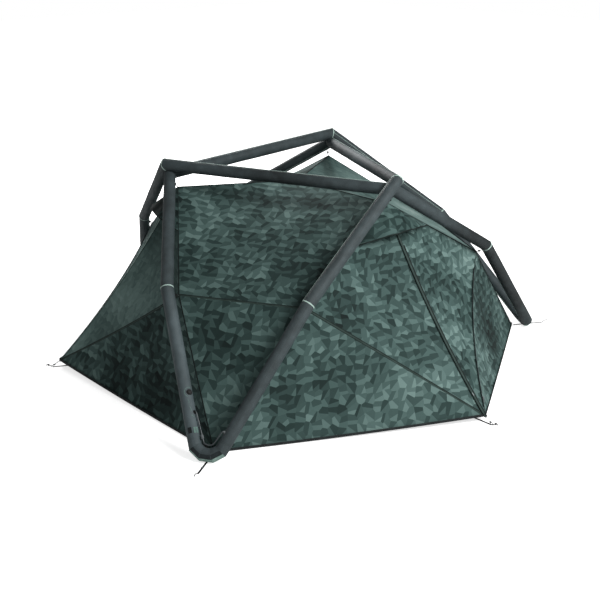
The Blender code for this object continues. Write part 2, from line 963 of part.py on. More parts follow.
def frame_strand(turns, points):
    return [turned(point, turns) for point in points]


def roof_panel(foot_index):
    """The panel over a foot: from the middle of the roof down to the two bends over that foot."""
    bay_after = foot_index
    bay_before = (foot_index + 2) % 3
    peak = sum(fly_top(bay) for bay in range(arch_count)) / arch_count
    ridge_before = straight(fly_top(bay_before), peak)
    ridge_after = straight(peak, fly_top(bay_after))
    top = ridge_before + ridge_after[1:]
    bottom = straight(fly_bend(foot_index, -1), fly_bend(foot_index, 1), len(top) - 1)
    left = straight(top[0], bottom[0])
    right = straight(top[-1], bottom[-1])
    name = f"fly_roof_panel_{foot_names[foot_index]}"
    item = cloth_solid(name, quad_patch(top, bottom, left, right), fly_cloth)
    over = frame_strand(foot_index, [foot.apex, over_bend, over_node])
    under = frame_strand(
        foot_index, [foot.apex, foot.under_bend, turned(under_node, 1)])
    bar = frame_strand(bay_after - 1, [over_node, under_node, under_bend])
    item = hanger(item, hanger_root(bottom[-1], bottom[0], top[-1]), over)
    item = hanger(item, hanger_root(bottom[0], bottom[-1], top[0]), under)
    return hanger(item, hanger_root(top[-1], peak, bottom[-1]), bar)


def foot_panel(foot_index):
    """The lower triangle behind a foot."""
    corner = fly_foot_corner(foot_index)
    left = straight(corner, fly_bend(foot_index, 1))
    right = straight(corner, fly_bend(foot_index, -1))
    base = straight(fly_bend(foot_index, 1), fly_bend(foot_index, -1))
    name = f"fly_foot_panel_{foot_names[foot_index]}"
    return cloth_solid(name, triangle_patch(left, right, base), fly_cloth)


def bay_edges(bay, side):
    """The seams of one side of a bay. Side -1 is towards the foot before it."""
    foot_index = bay if side < 0 else (bay + 1) % 3
    top = fly_top(bay)
    corner = fly_bay_corner(bay)
    bend = fly_bend(foot_index, -side)
    foot_corner = fly_foot_corner(foot_index)
    return {
        "ridge": edge_points(top, corner, ridge_sag),
        "top": straight(top, bend),
        "seam": edge_points(bend, corner, seam_sag),
        "leg": straight(foot_corner, bend),
        "hem": hem_points(foot_corner, corner),
        "top_point": top,
        "bend_point": bend,
    }


def upper_bay_patch(edges):
    return triangle_patch(edges["top"], edges["ridge"], edges["seam"])


def lower_bay_patch(edges):
    return triangle_patch(edges["hem"], edges["leg"], edges["seam"][::-1])


def bay_side_panel(bay, side, name):
    edges = bay_edges(bay, side)
    n = panel_cuts
    upper = upper_bay_patch(edges)
    lower = lower_bay_patch(edges)
    seam_upper = [(n, k) for k in range(n + 1)]
    seam_lower = [(n, n - k) for k in range(n + 1)]
    grid, faces, rim = lower
    lower = (grid, [face[::-1] for face in faces], rim)
    shared = joined_patches(
        upper, orient_like(upper, lower, seam_upper, seam_lower), seam_upper, seam_lower)
    return cloth_solid(name, shared, fly_cloth)


def orient_like(first, second, shared_first, shared_second):
    """The second patch with its faces wound so that the shared edge runs the other way."""
    a, b = shared_first[0], shared_first[1]
    c, d = shared_second[0], shared_second[1]

    def runs(faces, start, end):
        return any(
            (p, q) == (start, end) for face in faces for p, q in zip(face, face[1:] + face[:1]))

    grid, faces, rim = second
    if runs(first[1], a, b) == runs(faces, c, d):
        faces = [face[::-1] for face in faces]
    return grid, faces, rim


def lower_bay_panel(bay, side, name):
    return cloth_solid(name, lower_bay_patch(bay_edges(bay, side)), fly_cloth)


# Door

front = bay_edges(0, 1)
door_hinge_start = front["top_point"]
door_hinge_end = front["bend_point"]
door_axis = unit(door_hinge_end - door_hinge_start)
door_top_corner = door_hinge_start + (door_hinge_end - door_hinge_start) * door_corner_share


def door_header():
    """The small fixed panel over the door, under the hood."""
    patch = triangle_patch(
        [front["ridge"][0], front["ridge"][1]], [front["ridge"][0], door_top_corner],
        [front["ridge"][1], door_top_corner])
    return cloth_solid("door_header_panel", patch, hood_cloth)


def door_panel():
    left = front["ridge"][1:]
    top = straight(left[0], door_top_corner)
    right = straight(door_top_corner, door_hinge_end, panel_cuts - 1)
    bottom = front["seam"][::-1]
    item = cloth_solid("door_panel", quad_patch(top, bottom, left, right), fly_cloth, door_gap)
    item.data.transform(Matrix.Translation(Vector(-door_hinge_start)))
    item.location = Vector(door_hinge_start)
    return item


def facet(first, second, third):
    """Outward normal of a facet of the fly."""
    normal = unit(np.cross(second - first, third - first))
    return normal if float(normal @ (first - dome_centre)) > 0 else -normal


def zip_slider(name, corner, before, beside):
    """A zip slider with its pull tab, on the fixed side of a seam just above the corner."""
    normal = facet(corner, before, beside)
    along = unit(before - corner)
    lateral = unit((beside - corner) - along * float((beside - corner) @ along))
    lift = slider_height / 2 + fit_gap
    place = corner + (before - corner) / 2 + lateral * slider_inset + normal * lift
    body = box_mesh(name, (slider_length, slider_width, slider_height), black_plastic)
    tab = box_mesh(
        "slider_tab", (slider_tab_length, slider_tab_width, slider_tab_thickness))
    reach = slider_length / 2 + slider_tab_length / 2 - slider_width / 2
    rise = slider_height / 2 - slider_tab_thickness
    tab.data.transform(Matrix.Translation((-reach, 0, rise)))
    slider = join_solids(body, tab)
    slider.matrix_world = frame_matrix(place, along, normal)
    return slider


def ridge_slider():
    left_side = bay_edges(0, -1)
    corner = left_side["ridge"][-1]
    return zip_slider(
        "ridge_zip_slider", corner, left_side["ridge"][-2], left_side["seam"][-2])


def side_slider():
    corner = front["seam"][-1]
    return zip_slider(
        "side_zip_slider", corner, front["seam"][-2], front["hem"][-2])


def vent_hood(bay):
    """The canopy over the top of a bay, a bowed sheet that fans out from the fly's top corner."""
    apex = fly_top(bay)
    out = unit(apex - dome_centre)
    apex = apex + out * hood_stand_off
    sides = []
    for edges in (bay_edges(bay, -1), bay_edges(bay, 1)):
        span = edges["bend_point"] - edges["top_point"]
        point = edges["top_point"] + span * hood_reach_share
        sides.append(point + unit(point - dome_centre) * hood_stand_off)
    bulge = polar(hood_front_reach, node_azimuth + third_turn * bay, hood_front_rise)
    edge = []
    for k in range(2 * panel_cuts + 1):
        t = k / (2 * panel_cuts)
        edge.append(sides[0] + (sides[1] - sides[0]) * t + bulge * 4 * t * (1 - t))
    rows = hood_rows
    grid = {(0, 0): apex}
    faces = []
    for row in range(1, rows + 1):
        for k, point in enumerate(edge):
            grid[(row, k)] = apex + (point - apex) * (row / rows)
    last = len(edge) - 1
    for k in range(last):
        faces.append(((0, 0), (1, k), (1, k + 1)))
        for row in range(1, rows):
            faces += two_triangles((row, k), (row + 1, k), (row + 1, k + 1), (row, k + 1))
    rim = [(0, 0)] + [(row, 0) for row in range(1, rows + 1)]
    rim += [(rows, k) for k in range(1, last + 1)]
    rim += [(row, last) for row in range(rows - 1, 0, -1)]
    return cloth_solid(f"vent_hood_{bay_names[bay]}", (grid, faces, rim), hood_cloth, 0.0)


# Groundsheet, inner tent, pegs and loops

def flat_outline(name, outline, thickness, material):
    """A flat outline in plan, extruded up from its own level."""
    curve = bpy.data.curves.new(name, "CURVE")
    curve.dimensions = "2D"
    curve.fill_mode = "BOTH"
    curve.extrude = thickness / 2
    spline = curve.splines.new("POLY")
    spline.points.add(len(outline) - 1)
    for point, (x, y) in zip(spline.points, outline):
        point.co = (x, y, 0, 1)
    spline.use_cyclic_u = True
    guide = bpy.data.objects.new(name, curve)
    parts.objects.link(guide)
    bpy.context.view_layer.update()
    graph = bpy.context.evaluated_depsgraph_get()
    mesh = bpy.data.meshes.new_from_object(guide.evaluated_get(graph))
    bpy.data.objects.remove(guide, do_unlink=True)
    shape = bmesh.new()
    shape.from_mesh(mesh)
    bmesh.ops.remove_doubles(shape, verts=shape.verts, dist=merge_distance)
    bmesh.ops.recalc_face_normals(shape, faces=shape.faces)
    shape.to_mesh(mesh)
    shape.free()
    mesh.materials.append(material)
    item = bpy.data.objects.new(name, mesh)
    item.location = (0, 0, thickness / 2)
    parts.objects.link(item)
    return item


def groundsheet():
    outline = []
    for k in range(2 * arch_count):
        azimuth = first_foot_azimuth + third_turn / 2 * k
        if k % 2 == 0:
            outline.append(polar(groundsheet_radius, azimuth, 0)[:2])
            continue
        along = polar(1, azimuth, 0)[:2]
        across = np.array([-along[1], along[0]]) * strap_width / 2
        flank = math.cos(third_turn / 4) / math.sin(third_turn / 4)
        neck = groundsheet_radius - strap_width / 2 / flank
        outline.append(along * neck - across)
        outline.append(along * groundsheet_strap_end - across)
        outline.append(along * groundsheet_strap_end + across)
        outline.append(along * neck + across)
    return flat_outline("groundsheet", outline, groundsheet_thickness, floor_cloth)


def inner_hull(name, points, front_y):
    """The convex hull of the inner tent's corners, cut flat at the front."""
    shape = bmesh.new()
    for point in points:
        shape.verts.new(point)
    bmesh.ops.convex_hull(shape, input=shape.verts)
    everything = shape.verts[:] + shape.edges[:] + shape.faces[:]
    cut_result = bmesh.ops.bisect_plane(
        shape, geom=everything, plane_co=(0, front_y, 0), plane_no=(0, -1, 0), clear_outer=True)
    rim = [item for item in cut_result["geom_cut"] if isinstance(item, bmesh.types.BMEdge)]
    bmesh.ops.contextual_create(shape, geom=rim)
    bmesh.ops.dissolve_limit(
        shape, angle_limit=flat_angle, verts=shape.verts, edges=shape.edges)
    bmesh.ops.recalc_face_normals(shape, faces=shape.faces)
    mesh = bpy.data.meshes.new(name)
    shape.to_mesh(mesh)
    shape.free()
    mesh.materials.append(inner_cloth)
    item = bpy.data.objects.new(name, mesh)
    parts.objects.link(item)
    return item


def inner_outline():
    """The corners of the inner tent, from the floor up, on the first floor level it can have."""
    floor = groundsheet_thickness + fit_gap
    points = []
    for k in range(arch_count):
        turn = third_turn * k
        points.append(polar(inner_top_radius, node_azimuth + turn, inner_top_height))
        for side in (-1, 1):
            azimuth = first_foot_azimuth + turn + side * fly_bend_turn
            points.append(polar(inner_bend_radius, azimuth, inner_bend_height))
        points.append(polar(inner_corner_radius, first_foot_azimuth + turn, floor))
        points.append(polar(inner_corner_radius, node_azimuth + turn, floor))
    return points, floor


def slab(name, low, high):
    """A block wider than the tent between two levels."""
    size = 4 * inner_corner_radius
    block = box_mesh(name, (size, size, high - low))
    block.data.transform(Matrix.Translation((0, 0, (low + high) / 2)))
    return block


def inner_floor():
    """The inner tent's sewn floor, a flat plate that reaches to the foot of its walls."""
    points, floor = inner_outline()
    item = inner_hull("inner_tent_floor", points, -inner_front_reach)
    item = boolean(
        item, slab("floor_slab", floor - inner_wall, floor + inner_wall), "INTERSECT")
    item.data.materials.clear()
    item.data.materials.append(floor_cloth)
    return item


def inner_canopy():
    """The walls and roof of the inner tent: a thin shell with a wide door in its front wall."""
    points, floor = inner_outline()
    shrink = inner_wall / (dome_centre_height - floor)
    item = inner_hull("inner_tent_canopy", points, -inner_front_reach)
    hollow = [point + (dome_centre - point) * shrink for point in points]
    item = cut(item, inner_hull("inner_hollow", hollow, -inner_front_reach * (1 - shrink)))
    item = cut(
        item, slab("canopy_slab", floor - inner_wall, floor + inner_wall + fit_gap))
    depth = 2 * (inner_front_reach * shrink + cut_overrun)
    opening = box_mesh("inner_door_cutter", (inner_door_width, depth, inner_door_height))
    middle = inner_door_sill + inner_door_height / 2
    opening.data.transform(Matrix.Translation((0, -inner_front_reach, middle)))
    return cut(item, opening)


def rod_curve(name, points, radius, material):
    curve = bpy.data.curves.new(name, "CURVE")
    curve.dimensions = "3D"
    curve.bevel_depth = radius
    curve.bevel_resolution = rod_bevel_steps
    curve.use_fill_caps = True
    spline = curve.splines.new("POLY")
    spline.points.add(len(points) - 1)
    for point, place in zip(spline.points, points):
        point.co = (*place, 1)
    curve.materials.append(material)
    item = bpy.data.objects.new(name, curve)
    parts.objects.link(item)
    return item


def peg(name, radius, azimuth):
    """The part of a peg that stands out of the ground: a slanting rod with a hooked head."""
    tip_radius = radius + peg_head_reach
    low = polar(radius, azimuth, peg_foot_share * peg_rod)
    top = polar(tip_radius, azimuth, peg_head_rise)
    bow = polar(
        tip_radius + peg_hook_reach * peg_bow_share, azimuth, peg_head_rise - peg_rod)
    hook = polar(tip_radius + peg_hook_reach, azimuth, peg_head_rise - peg_hook_drop)
    return rod_curve(name, [low, top, bow, hook], peg_rod, peg_metal)


def corner_loop(name, bay):
    """A cord from the fly's bay corner round the peg and back."""
    azimuth = node_azimuth + third_turn * bay
    side = polar(loop_half_width, azimuth + math.pi / 2, 0)
    spread = loop_half_width * loop_end_share
    start = fly_corner_radius - (spread - loop_cord) / math.tan(third_turn / 2) + fit_gap
    low = 3 * peg_rod
    rise = peg_head_rise - peg_foot_share * peg_rod
    lean = math.atan2(rise, peg_head_reach)
    beyond = (low - peg_foot_share * peg_rod) / math.tan(lean)
    clear = (peg_rod + loop_cord + fit_gap) / math.sin(lean)
    turn_round = bay_peg_radius + beyond + clear
    beside = turn_round - 2 * loop_half_width
    lane = []
    for drop, spread in loop_lane_shares:
        radius = start + (beside - start) * (1 - drop)
        lane.append((radius, low + (bay_corner_height - low) * drop, spread))
    lane.append((beside, low, 1))
    lane.append((turn_round - loop_cord, low, loop_turn_share))
    points = [polar(radius, azimuth, level) + side * spread for radius, level, spread in lane]
    points.append(polar(turn_round + loop_cord / 2, azimuth, low))
    points += [
        polar(radius, azimuth, level) - side * spread for radius, level, spread in lane[::-1]]
    return rod_curve(name, smooth_route(points, loop_stations), loop_cord, cord_yarn)


# Assembly

def pierced(item, holes):
    for place, facing, radius in holes:
        item = cut(item, hole_cutter(place, facing, radius))
    return item


valve_hole = (valve_place, valve_facing, valve_neck_radius + fit_gap)
high_hole = (high_port, high_facing, hose_radius + fit_gap)
low_hole = (low_port, low_facing, hose_radius + fit_gap)


def build_frame():
    for k in range(arch_count):
        label = foot_names[k]
        low = over_lower_leg(f"sleeve_{label}_over_lower_leg")
        low = pierced(low, [low_hole])
        pieces = [
            low,
            over_upper_leg(f"sleeve_{label}_over_upper_leg"),
            top_bar(f"sleeve_{label}_top_bar"),
            under_upper_leg(f"sleeve_{label}_under_upper_leg"),
            foot_sleeve(f"sleeve_{label}_foot"),
        ]
        holes = [high_hole, valve_hole] if k == 0 else [high_hole]
        lower = pierced(under_lower_leg(f"sleeve_{label}_under_lower_leg"), holes)
        pieces.append(lower)
        for piece in pieces:
            piece.data.transform(Matrix.Rotation(third_turn * k, 4, "Z"))
        chamber = bladder(f"bladder_{label}")
        far = [tuple([*(turned(place, 2), turned(facing, 2)), radius])
               for place, facing, radius in ([high_hole, valve_hole] if k == 1 else [high_hole])]
        chamber = pierced(chamber, [low_hole, *far])
        chamber.data.transform(Matrix.Rotation(third_turn * k, 4, "Z"))


def build_air_fittings():
    valve_base()
    valve_stem()
    valve_cap()
    for k in (0, 1):
        label = foot_names[k]
        turn = Matrix.Rotation(third_turn * k, 4, "Z")
        for piece in (hose(f"hose_{label}"), clamp_body(f"hose_clamp_{label}"),
                      clamp_lever(f"clamp_lever_{label}")):
            piece.matrix_world = turn @ piece.matrix_world


def build_fly():
    for k in range(arch_count):
        roof_panel(k)
        foot_panel(k)
    for bay in (1, 2):
        bay_side_panel(bay, -1, f"fly_{bay_names[bay]}_bay_panel_1")
        bay_side_panel(bay, 1, f"fly_{bay_names[bay]}_bay_panel_2")
    bay_side_panel(0, -1, "fly_front_bay_panel")
    lower_bay_panel(0, 1, "fly_door_side_panel")
    door_header()
    door_panel()
    ridge_slider()
    side_slider()
    for bay in (0, 2):
        vent_hood(bay)


def build_ground():
    groundsheet()
    inner_floor()
    inner_canopy()
    for k in range(arch_count):
        peg(f"peg_foot_{foot_names[k]}", foot_peg_radius, first_foot_azimuth + third_turn * k)
        peg(f"peg_bay_{bay_names[k]}", bay_peg_radius, node_azimuth + third_turn * k)
        corner_loop(f"corner_loop_{bay_names[k]}", k)


build_frame()
build_air_fittings()
build_fly()
build_ground()
bpy.context.view_layer.update()
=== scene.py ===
# Looks of the inflatable tent: sewn tube sleeves, a printed fly hung from cords, and their fittings.
import math

import bmesh
import bpy
import numpy as np
from mathutils import Matrix, Vector


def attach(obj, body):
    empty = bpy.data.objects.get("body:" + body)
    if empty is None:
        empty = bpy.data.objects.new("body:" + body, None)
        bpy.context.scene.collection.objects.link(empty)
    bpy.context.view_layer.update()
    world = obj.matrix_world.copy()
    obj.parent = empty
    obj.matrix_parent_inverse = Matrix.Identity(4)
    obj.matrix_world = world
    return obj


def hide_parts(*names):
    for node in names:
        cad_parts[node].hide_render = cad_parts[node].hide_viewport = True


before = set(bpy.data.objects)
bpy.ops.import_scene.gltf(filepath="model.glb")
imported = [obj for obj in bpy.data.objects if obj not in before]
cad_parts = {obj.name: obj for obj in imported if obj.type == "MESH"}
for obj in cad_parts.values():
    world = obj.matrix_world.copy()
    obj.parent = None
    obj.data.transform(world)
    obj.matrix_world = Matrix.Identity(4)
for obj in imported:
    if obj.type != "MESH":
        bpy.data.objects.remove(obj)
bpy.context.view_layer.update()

# Sizes of the tube frame, as in the part's source
tube_diameter = 0.095
tube_radius = tube_diameter / 2
top_node_radius = 1.066
top_node_height = 1.626
crossing_reach = 0.028
crossing_rise = 0.0726
over_bend_radius = 1.570
over_bend_height = 0.966
under_bend_radius = 1.575
under_bend_height = 0.975
over_bend_turn = math.radians(19.4)
under_bend_turn = math.radians(20.5)
foot_apex_radius = 2.268
foot_bend_radius = 0.1157
foot_sleeve_rise = 0.055
foot_clearance = 0.0015
foot_corners = 4
press_clearance = 0.0012

# Sizes of the fly, the door and the hood
top_hanger = 0.081
top_hanger_slope = math.radians(62.6)
bend_hanger = 0.047
bend_hanger_slope = math.radians(39.7)
fly_bend_turn = math.radians(18.96)
fly_corner_radius = 2.035
foot_corner_height = 0.004
bay_corner_height = 0.051
dome_centre = np.array([0.0, 0.0, 0.45])
ridge_sag = 0.060
seam_sag = 0.060
hood_reach_share = 0.43
hood_front_reach = 0.158
hood_front_rise = 0.072
door_corner_share = 0.55
cad_cuts = 5
door_tape_inset = 0.013
door_tape_width = 0.016
side_tape_rise = 0.016
side_tape_drop = 0.014
zip_lift = 0.0016
zip_tooth = {"Spacing": 0.006, "Length": 0.0035, "Width": 0.006, "Height": 0.0022}
zip_flap_start = 0.08
zip_flap_reach = 0.012
zip_flap_width = 0.020
flap_stitch_reach = 0.0235
hood_lift = 0.0018
hood_fold = 0.006
hood_rim_radius = 0.0045
fold_depth = 0.0035
billow_depth = 0.0024

# Sizes of the trim and the fittings
cloth_thickness = 0.0012
tape_width = 0.009
tape_lift = 0.0011
tape_sink = 0.0006
piping_radius = 0.0016
piping_end_gap = 0.004
seam_pinch = 0.0016
seam_pucker = 0.0007
bend_crease = 0.0016
crease_pitch = 0.013
skin_ripple = 0.0004
bend_easing = 0.6
hem_width = 0.022
seam_sink = 0.0012
cord_radius = 0.0016
hanger_half_width = 0.007
toggle_half_length = 0.007
toggle_width = 0.018
strap_width = 0.015
strap_level = 0.0006
strap_height = 0.0016
keeper_ends = (2.238, 2.254)
keeper_height = 0.0032
strap_stitch_ends = (2.17, 2.23)
foot_strap_start = 2.048
foot_strap_end = 2.335
peg_rod = 0.003
peg_head_reach = 0.045
peg_head_rise = 0.026
peg_foot_share = 1.6
bay_peg_radius = 2.092
loop_cord = 0.0015
loop_half_width = 0.008
loop_end_share = 0.45
loop_turn_share = 0.6
loop_lane_shares = ((1, loop_end_share), (0.6, 0.8), (0.25, 1))
fit_gap = 0.0003
valve_rise = 0.385
valve_turn = math.radians(50)
hose_radius = 0.0045
hose_port_low = 0.120
hose_port_high = 0.240
hose_stand_off = 0.013
hose_lift = 0.012
hose_high_turn = math.radians(68)
hose_low_turn = math.radians(58)
hose_port_reach = 0.013
clamp_index = 13
clamp_size = (0.030, 0.016, 0.013)
clamp_bevel = 0.0022
clamp_lever_size = (0.030, 0.012, 0.003)
clamp_lever_bevel = 0.0008
clamp_lever_rise = clamp_size[2] / 2 + fit_gap + clamp_lever_size[2] / 2
valve_cap_low = 0.0028
valve_strap_ends = (-0.014, -0.0175)
valve_ribs = 24
mark_width = 0.0035
rib_start = 0.012
peg_cap_reach = 0.0387

# Turned fittings: (radius, height) pairs from the middle of the lower face to that of the upper
valve_patch_profile = (
    (0.0005, -0.006), (0.0220, -0.006), (0.0226, -0.0012), (0.0195, 0.0006), (0.0005, 0.0006))
valve_cap_profile = (
    (0.0005, 0.0), (0.0158, 0.0), (0.0165, 0.0008), (0.0165, 0.0038), (0.0150, 0.0050),
    (0.0100, 0.0050), (0.0090, 0.0042), (0.0005, 0.0042))
fitting_profile = (
    (0.0005, -0.004), (0.0140, -0.004), (0.0145, -0.001), (0.0120, 0.0012), (0.0080, 0.0016),
    (0.0074, 0.0080), (0.0060, 0.0090), (0.0005, 0.0090))
peg_cap_profile = (
    (0.0005, -0.0090), (0.0055, -0.0085), (0.0075, -0.0050), (0.0078, 0.0040), (0.0060, 0.0082),
    (0.0005, 0.0090))
knot_profile = (
    (0.0005, -0.0040), (0.0075, -0.0036), (0.0098, -0.0010), (0.0098, 0.0012), (0.0072, 0.0038),
    (0.0005, 0.0042))

# Camera, floor and lights
camera_lens = 60.92
camera_sensor = 36
camera_place = (-5.6524, -5.9789, 3.4759)
camera_forward = (0.64584, 0.67934, -0.34841)
camera_up = (0.23817, 0.25431, 0.93734)
floor_half = 30
floor_level = -0.001
soft_box_side = 3.0

third_turn = math.radians(120)
first_foot_azimuth = math.radians(-150)
node_azimuth = first_foot_azimuth + third_turn / 2
foot_names = ("front_left", "front_right", "back")
bay_names = ("front", "right", "left")
detail = 2

# Points of the sleeves and sheets: rows near a sleeve's end seam, and how many across a sheet
seam_steps = np.array([0, 0.002, 0.005, 0.009, 0.014, 0.020, 0.027, 0.035, 0.045, 0.06])
short_sleeve = 0.16
row_gap = 0.035
pressed_row_gap = 0.012
sheet_points = 12 * detail + 1
patch_rows = 7
patch_columns = 25
patch_swing = math.radians(8)


# Points and directions

def polar(radius, azimuth, height):
    return np.array([radius * math.cos(azimuth), radius * math.sin(azimuth), height])


def unit(vector):
    """A vector, or each row of several, made one long."""
    return vector / np.linalg.norm(vector, axis=-1, keepdims=True)


def turned(point, turns):
    angle = third_turn * turns
    c, s = math.cos(angle), math.sin(angle)
    point = np.asarray(point, float)
    return np.stack([
        c * point[..., 0] - s * point[..., 1], s * point[..., 0] + c * point[..., 1],
        point[..., 2]], axis=-1)


over_node = polar(
    top_node_radius + crossing_reach / 2, node_azimuth, top_node_height + crossing_rise / 2)
under_node = polar(
    top_node_radius - crossing_reach / 2, node_azimuth + third_turn,
    top_node_height - crossing_rise / 2)
over_bend = polar(over_bend_radius, first_foot_azimuth + over_bend_turn, over_bend_height)
under_bend = polar(
    under_bend_radius, first_foot_azimuth + 2 * third_turn - under_bend_turn, under_bend_height)
upper_strand = [turned(over_bend, 1), turned(over_node, 1), turned(under_node, 1)]
press_plane = unit(unit(under_node - over_node) + unit(under_bend - under_node))


class Foot:
    """The round bend at the first foot, worked out as in the part's source."""

    def __init__(self):
        self.over_bend = over_bend
        self.under_bend = turned(under_bend, 1)
        lift = 0.0
        for _ in range(30):
            self.settle(polar(foot_apex_radius, first_foot_azimuth, lift))
            lift += tube_radius + foot_clearance - self.point(0, foot_bend_radius)[2]
        self.settle(polar(foot_apex_radius, first_foot_azimuth, lift))

    def settle(self, apex):
        self.apex = apex
        self.over_leg = unit(self.over_bend - apex)
        self.under_leg = unit(self.under_bend - apex)
        self.up = unit(self.over_leg + self.under_leg)
        self.half = math.acos(float(self.over_leg @ self.under_leg)) / 2
        self.out = unit(np.cross(self.over_leg, self.under_leg))
        if self.out[2] < 0:
            self.out = -self.out
        self.across = unit(self.over_leg - self.under_leg)
        self.centre = apex + self.up * foot_bend_radius / math.sin(self.half)
        self.sweep = math.pi / 2 - self.half

    def point(self, angle, radius):
        return self.centre + radius * (math.sin(angle) * self.across - math.cos(angle) * self.up)

    def corners(self):
        step = 2 * self.sweep / foot_corners
        reach = foot_bend_radius / math.cos(step / 2)
        return [self.point(-self.sweep + step * (k + 0.5), reach) for k in range(foot_corners)]

    def on_leg(self, side, rise):
        corner = self.corners()[-1 if side == "over" else 0]
        leg = self.over_leg if side == "over" else self.under_leg
        return corner + leg * rise


foot = Foot()


# Materials

def srgb(code):
    """An sRGB hex colour as linear red, green, blue and alpha."""
    parts = [int(code[i:i + 2], 16) / 255 for i in (1, 3, 5)]
    return (*[p / 12.92 if p <= 0.04045 else ((p + 0.055) / 1.055) ** 2.4 for p in parts], 1)


def add(tree, kind, inputs=None, **settings):
    """Adds a node with its settings, and sets or links its inputs."""
    item = tree.nodes.new(kind)
    for name, value in settings.items():
        setattr(item, name, value)
    for key, value in (inputs or {}).items():
        if isinstance(value, bpy.types.NodeSocket):
            tree.links.new(value, item.inputs[key])
        else:
            item.inputs[key].default_value = value
    return item


def calculate(tree, operation, *inputs):
    """The result of a math node."""
    return add(tree, "ShaderNodeMath", dict(enumerate(inputs)), operation=operation).outputs[0]


def noise(tree, place, scale, detail=2.0, **more):
    inputs = {"Vector": place, "Scale": scale, "Detail": detail, **more}
    return add(tree, "ShaderNodeTexNoise", inputs).outputs["Fac"]


def tones(tree, factor, stops):
    """A colour ramp through (position, hex) stops."""
    ramp = add(tree, "ShaderNodeValToRGB", {0: factor})
    while len(ramp.color_ramp.elements) < len(stops):
        ramp.color_ramp.elements.new(0.5)
    for element, (place, code) in zip(ramp.color_ramp.elements, stops):
        element.position = place
        element.color = srgb(code)
    return ramp.outputs["Color"]


def new_material(name, roughness, **sockets):
    material = bpy.data.materials.new(name)
    material.use_nodes = True
    shader = material.node_tree.nodes["Principled BSDF"]
    shader.inputs["Roughness"].default_value = roughness
    for key, value in sockets.items():
        shader.inputs[key.replace("_", " ")].default_value = value
    return material, material.node_tree, shader


def dress(tree, shader, colour, *bumps):
    """Links a colour, and bumps of (height, strength, distance) that lie on one another."""
    tree.links.new(colour, shader.inputs["Base Color"])
    under = {}
    for height, strength, distance in bumps:
        bump = add(tree, "ShaderNodeBump", {
            "Height": height, "Strength": strength, "Distance": distance, **under})
        under = {"Normal": bump.outputs["Normal"]}
    tree.links.new(under["Normal"], shader.inputs["Normal"])


def weave_height(tree, uv, pitch):
    """The height of a plain weave whose threads are pitch apart, in metres on the UV map."""
    parts = add(tree, "ShaderNodeSeparateXYZ", {0: uv})
    waves = []
    for axis in "XY":
        turn = calculate(tree, "MULTIPLY", parts.outputs[axis], 2 * math.pi / pitch)
        waves.append(calculate(tree, "SINE", turn))
    return calculate(tree, "MULTIPLY", *waves)


def woven_polyester_sleeve():
    """High tenacity polyester, woven and lightly coated: matt, even charcoal with a faint sheen."""
    material, tree, shader = new_material("woven polyester sleeve", 0.66, Specular_IOR_Level=0.3)
    coordinates = add(tree, "ShaderNodeTexCoord")
    uv = coordinates.outputs["UV"]
    soft = noise(tree, uv, 9.0, 3.0)
    mixed = calculate(tree, "MULTIPLY_ADD", soft, noise(tree, uv, 260.0), 0.28)
    # Painted light and painted shade: broad areas of the sleeves made lighter or darker.
    painted_light = area_tone(tree, coordinates.outputs["Object"], sleeve_painted_light_areas)
    colour = tones(tree, calculate(tree, "ADD", mixed, painted_light), [
        (0.0, "#121617"), (0.25, "#1d2324"), (0.5, "#343d3f"), (0.75, "#475255"),
        (1.0, "#5a666a")])
    # Threads are 0.6 mm apart, drawn at 3 mm so that they show.
    weave = weave_height(tree, uv, 0.003)
    dress(tree, shader, colour, (weave, 0.25, 0.0006), (soft, 0.35, 0.006))
    return material


# Painted shade and painted light on whole sides of the fly: broad areas made darker where a side
# stands in shade, and lighter on the right side of the roof where light falls: centre, reach and
# change of tone
painted_shade_and_light_areas = [
    ((-0.80, -0.90, 0.75), 1.50, -0.13), ((-1.70, 0.03, 0.15), 0.90, -0.26),
    ((0.95, -1.35, 0.35), 0.60, -0.24), ((1.05, -0.40, 1.06), 0.70, 0.22),
    ((-1.02, 0.60, 1.28), 0.50, -0.40),
]
# The same for the sleeves: painted light and painted shade, legs and bars made lighter where light
# falls on them and darker where they stand in shade
sleeve_painted_light_areas = [
    ((-1.65, -0.48, 0.73), 0.40, 0.26), ((-1.76, -0.70, 0.49), 0.36, 0.20),
    ((-1.87, -0.92, 0.25), 0.36, 0.28), ((1.30, -1.19, 0.68), 0.50, -0.30),
    ((1.62, -1.16, 0.36), 0.45, -0.25), ((0.85, -1.18, 1.08), 0.55, -0.32),
    ((-0.46, -0.27, 1.63), 0.55, -0.26), ((0.46, -0.27, 1.63), 0.50, 0.34),
]


def area_tone(tree, place, areas):
    """The change of tone that broad areas add at a place."""
    total = 0.0
    for centre, reach, change in areas:
        far = add(tree, "ShaderNodeVectorMath", {0: place, 1: centre}, operation="DISTANCE")
        level = add(tree, "ShaderNodeMapRange", {
            "Value": far.outputs["Value"], 1: 0.0, 2: reach, 3: change, 4: 0.0},
            interpolation_type="SMOOTHSTEP")
        total = calculate(tree, "ADD", total, level.outputs[0])
    return total


